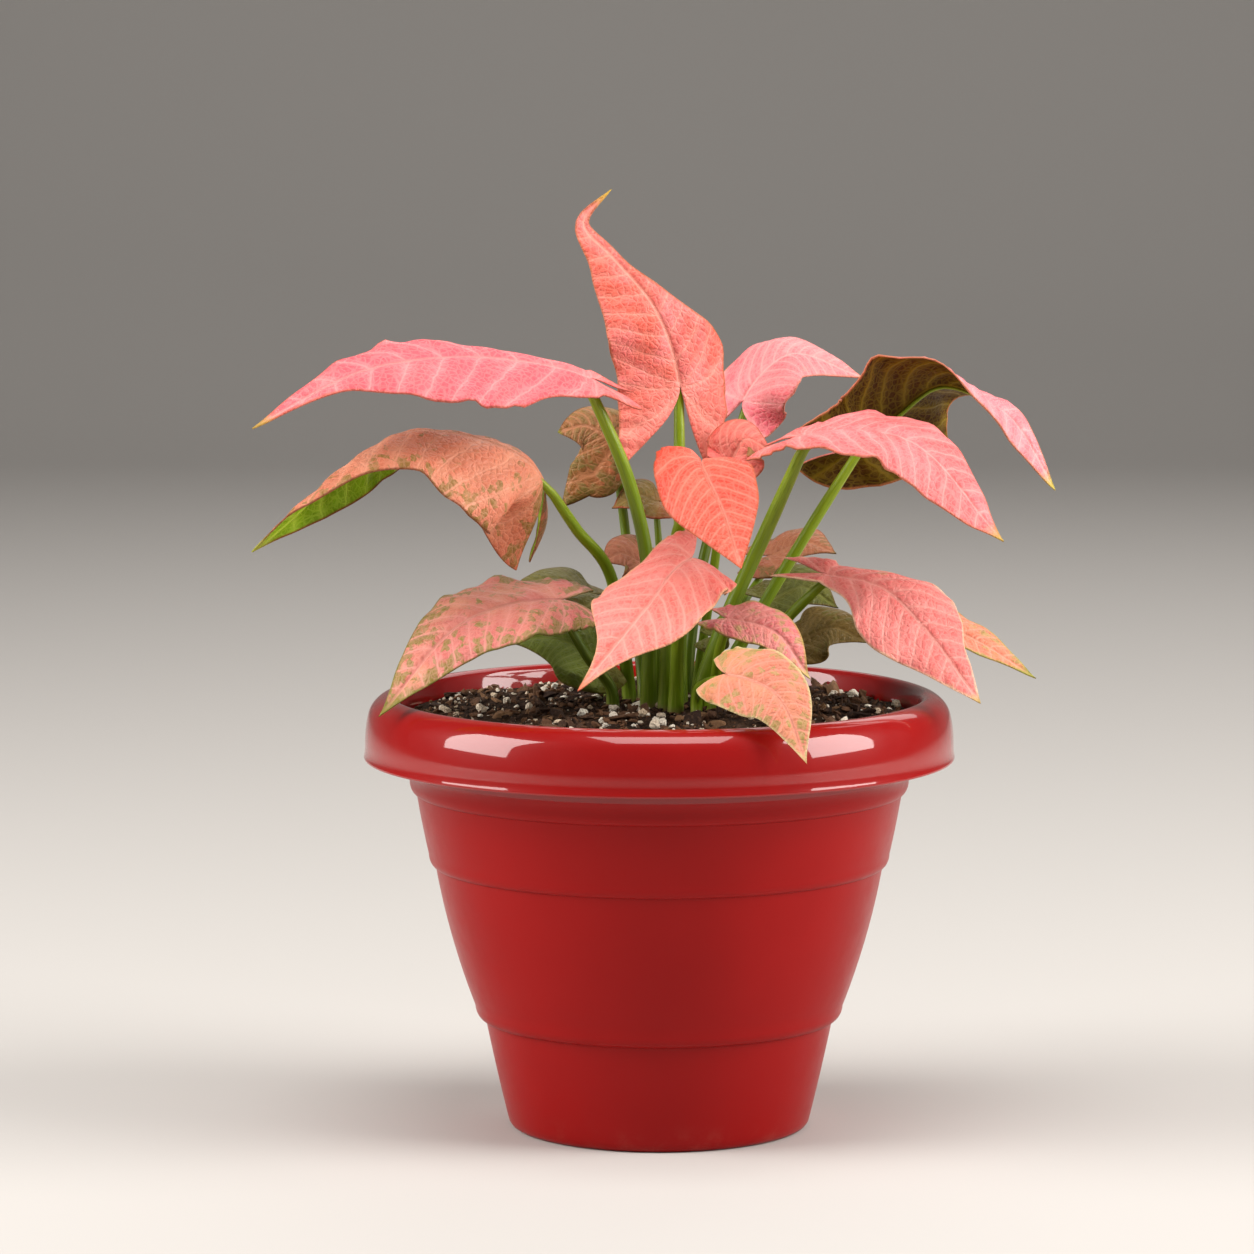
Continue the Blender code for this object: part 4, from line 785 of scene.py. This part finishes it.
def stalk_piece(name, blade, route, mats, seed):
    spec = {"radii": stalk_radii(blade.s)}
    k = np.linspace(0, 1, len(route))
    t = np.linspace(0, 1, 56)
    pts = np.stack([smooth_through(k, route[:, i], t) for i in range(3)], -1)
    rad = np.interp(t, [0, 0.8, 1], spec["radii"])
    rng = np.random.default_rng(seed)
    # the stalk runs on under the blade as its midrib
    tt = np.linspace(0.0, 0.62, 26)
    c = np.stack([np.interp(tt, blade.tau, blade.path[:, i]) for i in range(3)], -1)
    up = np.stack([np.interp(tt, blade.tau, blade.up[:, i]) for i in range(3)], -1)
    up /= np.linalg.norm(up, axis=1, keepdims=True)
    r_mid = np.interp(tt, [0, 0.10, 0.62], [spec["radii"][2] * 0.85, spec["radii"][2] * 0.50, 0.20])
    rib = c - up * (0.72 + r_mid * 0.95)[:, None]
    pts = np.concatenate([pts[:-1], rib])
    rad = np.concatenate([rad[:-1], r_mid])
    for _ in range(2):  # soften the join
        j = len(t) - 1
        for i in range(j - 6, j + 6):
            pts[i] = 0.25 * pts[i - 1] + 0.5 * pts[i] + 0.25 * pts[i + 1]
            rad[i] = 0.25 * rad[i - 1] + 0.5 * rad[i] + 0.25 * rad[i + 1]
    z = pts[:, 2]
    rad = rad * (1 + 0.22 * np.exp(-np.clip(z - 124, 0, 60) / 9.0))
    turn = rng.uniform(0, 6.28)

    def section(u, th):
        flat = 0.10 * np.cos(2 * (th - turn)) * (1 - u)
        gutter = -0.22 * np.exp(-(((th - turn + math.pi) % (2 * math.pi) - math.pi) / 0.5) ** 2) * max(0.0, 1 - u * 1.2)
        return flat + gutter

    obj = tube_mesh("stalk_fine_" + name, pts, rad, 18, section)
    # Stalks in LIT take the brighter copy, painted light; all others take the darker copy, painted shade.
    obj.data.materials.append(mats[0 if name in LIT else 1])
    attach(obj, "root")
    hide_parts("stalk_" + name)
    return obj


# Stalks that get the brighter copy of the stalk colour, painted light; every other stalk gets the darker copy, painted
# shade.
LIT = ("upper_left", "right", "centre", "top", "front", "lower_right", "upper_right", "mid_left",
       "small_right", "front_right", "centre_back")


# ---------------------------------------------------------------- pot
def smooth_profile(points, rounds=2):
    pts = [tuple(p) for p in points]
    for _ in range(rounds):
        out = [pts[0]]
        for p, q in zip(pts[:-1], pts[1:]):
            out.append((p[0] * 0.75 + q[0] * 0.25, p[1] * 0.75 + q[1] * 0.25))
            out.append((p[0] * 0.25 + q[0] * 0.75, p[1] * 0.25 + q[1] * 0.75))
        out.append(pts[-1])
        pts = out
    return pts


def turned_mesh(name, profile, steps):
    mesh = bpy.data.meshes.new(name)
    mesh.from_pydata([(max(r, 0) * MM, 0.0, z * MM) for r, z in profile], [(i, i + 1) for i in range(len(profile) - 1)], [])
    obj = bpy.data.objects.new(name, mesh)
    bpy.context.scene.collection.objects.link(obj)
    screw = obj.modifiers.new("Turn", "SCREW")
    screw.axis = "Z"
    screw.angle = math.radians(360)
    screw.steps = screw.render_steps = steps
    screw.use_merge_vertices = True
    screw.merge_threshold = 0.00002
    screw.use_smooth_shade = True
    return obj


def lip(low, high, points=8):
    """From the crisp corner under a ledge, out and round to the tier above it."""
    (r0, z0), (r1, z1) = low, high
    return [(r0 + (r1 - r0) * math.sin(a), z0 + (z1 - z0) * (1 - math.cos(a)))
            for a in np.linspace(0, math.pi / 2, points)[1:-1]]


def fine_wall():
    """The outer face from the foot up to the collar under the rim."""
    pts = [(0.0, 0.0), (41.4, 0.0), (42.6, 0.15), (43.5, 0.7), (44.1, 1.6)]
    for i, t in enumerate(TIERS):
        face = [(float(r), float(z)) for r, z in tier(*t, points=16)]
        if i:
            pts += lip(pts[-1], face[0])
        pts += face
    collar = (73.0, 102.5)
    return pts + lip(pts[-1], collar) + [collar, (73.6, 104.4)]


def pot_surface(name, rim):
    """Red injection-moulded plastic: glassy on the rolled rim, satin on the wall."""
    g = Graph(name, 0.3)
    g.shader.inputs["Specular IOR Level"].default_value = 0.10
    g.shader.inputs["Coat Weight"].default_value = 0.95 if rim else 0.10
    g.shader.inputs["Coat Roughness"].default_value = 0.045 if rim else 0.13
    p = g.object_point()
    cloud = g.noise(p, 14.0, 3)
    grain = g.noise(p, 900.0, 2)
    scuff = g.noise(p, 120.0, 4, 0.7)
    red = g.mix(g.span(cloud, 0.3, 0.7), (0.305, 0.0040, 0.0036), (0.270, 0.0030, 0.0028))
    red = g.mix(g.math("MULTIPLY", g.span(scuff, 0.64, 0.82), 0.06), red, (0.36, 0.012, 0.010))
    split = g.node("ShaderNodeSeparateXYZ")
    g.put(split.inputs[0], p)
    low = g.span(split.outputs[2], 0.010, 0.0)
    red = g.mix(g.math("MULTIPLY", low, g.span(scuff, 0.45, 0.7)), red, (0.30, 0.02, 0.015))
    g.colour(red)
    g.rough(g.span(scuff, 0.25, 0.8, 0.30, 0.40))
    g.bump(g.math("ADD", g.math("MULTIPLY", grain, 0.5), g.math("MULTIPLY", scuff, 0.4)), 0.045 if rim else 0.07, 0.0002)
    return g.mat


def pot_piece():
    inside = [p for p in pot_profile()[: pot_profile().index(RIM[0])]]
    crown = smooth_profile([inside[-1], *RIM[:-1]], 3)[1:]
    wall_out = fine_wall()[::-1]
    obj = turned_mesh("red_pot", smooth_profile(inside, 1) + crown + wall_out, 192)
    for i in range(6):
        a = 2 * math.pi * (i + 0.5) / 6
        bpy.ops.mesh.primitive_cylinder_add(vertices=40, radius=4.25 * MM, depth=12 * MM, location=(28 * MM * math.cos(a), 28 * MM * math.sin(a), 0))
        hole = bpy.context.object
        hole.name = f"drain_cut_{i}"
        cut = obj.modifiers.new(f"Drain {i}", "BOOLEAN")
        cut.operation, cut.solver, cut.object = "DIFFERENCE", "EXACT", hole
    bpy.context.view_layer.update()
    done = bpy.data.meshes.new_from_object(obj.evaluated_get(bpy.context.evaluated_depsgraph_get()))
    obj.modifiers.clear()
    obj.data = done
    for hole in [o for o in bpy.data.objects if o.name.startswith("drain_cut_")]:
        bpy.data.objects.remove(hole, do_unlink=True)
    obj.data.materials.clear()
    obj.data.materials.append(pot_surface("red_wall", False))
    obj.data.materials.append(pot_surface("red_rim", True))
    for face in obj.data.polygons:
        face.material_index = 1 if face.center.z > 105.5 * MM else 0
    obj.data.shade_smooth()
    obj.data.set_sharp_from_angle(angle=math.radians(34))
    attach(obj, "root")
    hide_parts("pot")
    return obj


# ---------------------------------------------------------------- potting mix
def soil_height(x, y):
    r = math.hypot(x, y)
    base = SOIL_CROWN_Z - (SOIL_CROWN_Z - SOIL_EDGE_Z) * min(1.0, r / 73.0) ** 2.2
    p = Vector((x, y, 0.0))
    lump = noise.noise(p * 0.055) * 1.7 + noise.noise(p * 0.16 + Vector((7, 3, 1))) * 1.1
    lump += noise.noise(p * 0.42 + Vector((1, 9, 4))) * 0.8 + noise.noise(p * 0.95) * 0.45
    return base - 1.0 + lump * (1.0 - 0.5 * max(0.0, (r - 60) / 13.0))


def grains(name, count, size, squash, seed, sink, mat_tone, spread=72.5, detail=2, jitter=0.28, crown=0.0):
    """Many lumps in one mesh, each turned and bent its own way, lying on the soil."""
    bm = bmesh.new()
    bmesh.ops.create_icosphere(bm, subdivisions=detail, radius=1.0)
    bm.verts.ensure_lookup_table()
    base = np.array([v.co for v in bm.verts])
    tris = np.array([[v.index for v in f.verts] for f in bm.faces])
    bm.free()
    rng = np.random.default_rng(seed)
    verts, faces, tone = [], [], []
    for i in range(count):
        r = spread * math.sqrt(rng.uniform(crown, 1))
        a = rng.uniform(0, 2 * math.pi)
        x, y = r * math.cos(a), r * math.sin(a)
        s = rng.uniform(*size) * (0.6 + 0.8 * rng.random() ** 2)
        dims = np.array([rng.uniform(*squash[0]), rng.uniform(*squash[1]), rng.uniform(*squash[2])]) * s
        p = base * (1 + jitter * np.sin(base[:, [1, 2, 0]] * rng.uniform(1.5, 4.0, 3) + rng.uniform(0, 6.28, 3)))
        p = p * (1 + rng.uniform(-0.12, 0.12, len(base)))[:, None] * dims
        ax = rng.normal(size=3) * np.array([0.45, 0.45, 1.0])
        ang = rng.uniform(0, 2 * math.pi)
        ax /= np.linalg.norm(ax)
        kx = np.array([[0, -ax[2], ax[1]], [ax[2], 0, -ax[0]], [-ax[1], ax[0], 0]])
        rot = np.eye(3) + math.sin(ang) * kx + (1 - math.cos(ang)) * kx @ kx
        p = p @ rot.T
        top = soil_height(x, y)
        limit = 74.4 - np.abs(p[:, :2]).max()
        if r > limit:
            x, y = x * limit / r, y * limit / r
        p += np.array([x, y, top + dims.min() * rng.uniform(*sink)])
        faces.append(tris + len(base) * i)
        verts.append(p)
        tone.append(np.full(len(base), rng.random()))
    mesh = bpy.data.meshes.new(name)
    mesh.from_pydata((np.concatenate(verts) * MM).tolist(), [], np.concatenate(faces).tolist())
    mesh.update()
    mesh.attributes.new("tone", "FLOAT", "POINT").data.foreach_set("value", np.concatenate(tone).astype(np.float32))
    obj = bpy.data.objects.new(name, mesh)
    bpy.context.scene.collection.objects.link(obj)
    mesh.materials.append(mat_tone)
    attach(obj, "root")
    return obj


def soil_pieces():
    rings, spokes = 76, 200
    verts, faces = [(0.0, 0.0, soil_height(0, 0))], []
    for i in range(1, rings + 1):
        r = 73.7 * i / rings
        for j in range(spokes):
            a = 2 * math.pi * j / spokes
            x, y = r * math.cos(a), r * math.sin(a)
            verts.append((x, y, soil_height(x, y)))
    lower = [p for p in soil_profile() if p[1] < 118 and p[0] > 1]
    for r, z in lower:
        for j in range(spokes):
            a = 2 * math.pi * j / spokes
            verts.append((r * math.cos(a), r * math.sin(a), z))
    verts.append((0.0, 0.0, 3.4))
    n = rings + len(lower)
    for j in range(spokes):
        k = (j + 1) % spokes
        faces.append((0, 1 + j, 1 + k))
        faces.append((len(verts) - 1, 1 + (n - 1) * spokes + k, 1 + (n - 1) * spokes + j))
        for i in range(n - 1):
            faces.append((1 + i * spokes + j, 1 + (i + 1) * spokes + j, 1 + (i + 1) * spokes + k, 1 + i * spokes + k))
    mesh = bpy.data.meshes.new("mix_bed")
    mesh.from_pydata([(x * MM, y * MM, z * MM) for x, y, z in verts], [], faces)
    mesh.update()
    mesh.shade_smooth()
    obj = bpy.data.objects.new("mix_bed", mesh)
    bpy.context.scene.collection.objects.link(obj)
    g = Graph("peat", 0.95)
    g.shader.inputs["Specular IOR Level"].default_value = 0.15
    p = g.object_point()
    crumb = g.voronoi(p, 900.0)
    fibre = g.noise(p, 1400.0, 3)
    patch = g.noise(p, 160.0, 3)
    brown = g.mix(g.span(patch, 0.35, 0.7), (0.024, 0.012, 0.007), (0.066, 0.032, 0.016))
    brown = g.mix(g.math("MULTIPLY", g.span(fibre, 0.58, 0.75), 0.5), brown, (0.13, 0.07, 0.035))
    g.colour(brown)
    g.bump(g.math("ADD", g.math("MULTIPLY", crumb, 0.8), fibre), 1.0, 0.0012)
    mesh.materials.append(g.mat)
    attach(obj, "root")
    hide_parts("potting_mix")

    g = Graph("bark", 0.8)
    g.shader.inputs["Specular IOR Level"].default_value = 0.25
    tone, p = g.attr("tone"), g.object_point()
    n1, n2 = g.noise(p, 700.0, 4), g.noise(p, 2600.0, 2)
    brown = g.mix(g.span(tone, 0.1, 0.8), (0.030, 0.013, 0.007), (0.125, 0.055, 0.024))
    brown = g.mix(g.span(tone, 0.86, 0.97), brown, (0.22, 0.115, 0.055))
    brown = g.mix(g.math("MULTIPLY", g.span(n1, 0.5, 0.72), 0.6), brown, (0.16, 0.085, 0.045))
    brown = g.mix(g.math("MULTIPLY", g.span(n2, 0.55, 0.75), 0.4), brown, (0.018, 0.010, 0.007))
    g.colour(brown)
    g.bump(g.math("ADD", n1, g.math("MULTIPLY", n2, 0.5)), 0.9, 0.0007)
    bark = g.mat
    grains("bark_chips", 900, (1.0, 1.9), ((0.9, 1.9), (0.5, 0.95), (0.28, 0.6)), 11, (0.1, 1.0), bark)
    grains("bark_crumbs", 1500, (0.35, 0.8), ((0.8, 1.7), (0.5, 1.0), (0.4, 0.8)), 12, (0.2, 1.2), bark, detail=1)

    g = Graph("perlite_white", 0.85)
    g.shader.inputs["Specular IOR Level"].default_value = 0.3
    tone, p = g.attr("tone"), g.object_point()
    n1 = g.noise(p, 1500.0, 4)
    pits = g.voronoi(p, 1700.0)
    white = g.mix(g.span(tone, 0.0, 1.0), (0.84, 0.76, 0.64), (0.60, 0.46, 0.32))
    white = g.mix(g.math("MULTIPLY", g.span(n1, 0.52, 0.72), 0.65), white, (0.28, 0.18, 0.11))
    g.colour(white)
    g.bump(g.math("ADD", pits, g.math("MULTIPLY", n1, 0.6)), 0.9, 0.0006)
    grains("perlite", 190, (0.8, 1.5), ((0.8, 1.25), (0.75, 1.1), (0.65, 1.0)), 21, (0.15, 0.8), g.mat, jitter=0.2)
    grains("perlite_crumbs", 330, (0.35, 0.7), ((0.8, 1.3), (0.8, 1.1), (0.7, 1.0)), 22, (0.3, 1.1), g.mat, detail=1)


# ---------------------------------------------------------------- studio
def studio():
    scene = bpy.context.scene
    scene.view_settings.view_transform = "Standard"
    scene.view_settings.look = "None"
    # a floor that sweeps up into a backdrop
    prof = [(-6.0, 0.0)] + [(2.2 + 1.2 * math.sin(a), 1.2 - 1.2 * math.cos(a)) for a in np.linspace(0, math.pi / 2, 24)] + [(3.4, 5.0)]
    mesh = bpy.data.meshes.new("floor_sweep")
    verts = [(x, y, z) for y, z in prof for x in (-7.0, 7.0)]
    mesh.from_pydata(verts, [], [(2 * i, 2 * i + 1, 2 * i + 3, 2 * i + 2) for i in range(len(prof) - 1)])
    mesh.update()
    mesh.shade_smooth()
    floor = bpy.data.objects.new("floor_sweep", mesh)
    scene.collection.objects.link(floor)
    g = Graph("pale_floor", 0.9)
    g.shader.inputs["Specular IOR Level"].default_value = 0.1
    g.colour((0.54, 0.515, 0.49))
    mesh.materials.append(g.mat)

    world = bpy.data.worlds.new("soft_room") if not scene.world else scene.world
    scene.world = world
    world.use_nodes = True
    back = world.node_tree.nodes.get("Background") or world.node_tree.nodes.new("ShaderNodeBackground")
    back.inputs[0].default_value = (1.0, 0.97, 0.94, 1)
    back.inputs[1].default_value = WORLD_LIGHT

    for name, az, el, dist, size, power, tint in LIGHTS:
        data = bpy.data.lights.new(name, "AREA")
        data.shape = "RECTANGLE"
        data.size, data.size_y = size
        data.energy = power
        data.color = tint
        lamp = bpy.data.objects.new(name, data)
        scene.collection.objects.link(lamp)
        a, e = math.radians(az), math.radians(el)
        lamp.location = (dist * math.cos(e) * math.sin(a), -dist * math.cos(e) * math.cos(a), 0.16 + dist * math.sin(e))
        lamp.rotation_euler = (Vector((0, 0, 0.16)) - lamp.location).to_track_quat("-Z", "Y").to_euler()

    data = bpy.data.cameras.new("photo_camera")
    data.sensor_width = 36.0
    data.lens = 5688.3 / 1254 * 36.0
    data.clip_end = 60
    cam = bpy.data.objects.new("photo_camera", data)
    scene.collection.objects.link(cam)
    psi, pitch = -0.00571, 0.116628
    cam.location = (0.0, -1.64840, 0.340214)
    aim = Vector((math.sin(psi) * math.cos(pitch), math.cos(psi) * math.cos(pitch), -math.sin(pitch)))
    cam.rotation_euler = aim.to_track_quat("-Z", "Y").to_euler()
    scene.camera = cam


WORLD_LIGHT = 0.13
LIGHTS = (  # name, azimuth (0 is the viewer's side, + to the right), elevation, distance, size, watts
    ("softbox_right", 75, 25, 1.5, (0.86, 1.10), 31.0, (1.0, 0.98, 0.95)),
    ("softbox_left", -75, 25, 1.5, (0.86, 1.10), 28.0, (1.0, 0.98, 0.95)),
    ("overhead", 5, 74, 1.7, (1.0, 1.0), 18.0, (1.0, 0.98, 0.96)),
    ("back_fill", 165, 40, 1.9, (1.4, 1.0), 7.0, (1.0, 0.98, 0.96)),
)


def build():
    studio()
    pot_piece()
    soil_pieces()
    # One stalk colour made twice: a brighter copy with painted light and a darker copy with painted shade, in the lip
    # colour too.
    lit = stalk_material("stalk_lit", (0.14, 0.22, 0.006), (0.25, 0.34, 0.011), (0.42, 0.35, 0.05))
    shade = stalk_material("stalk_shade", (0.08, 0.13, 0.005), (0.14, 0.20, 0.008), (0.26, 0.21, 0.03))
    blades = {name: Blade(LEAVES[name], back) for name, back in layered().items()}
    routes = stalk_routes(blades)
    for i, (name, blade) in enumerate(blades.items()):
        blade_piece(name, blade, LOOKS[name], 100 + i)
        stalk_piece(name, blade, routes[name], (lit, shade), 300 + i)


build()
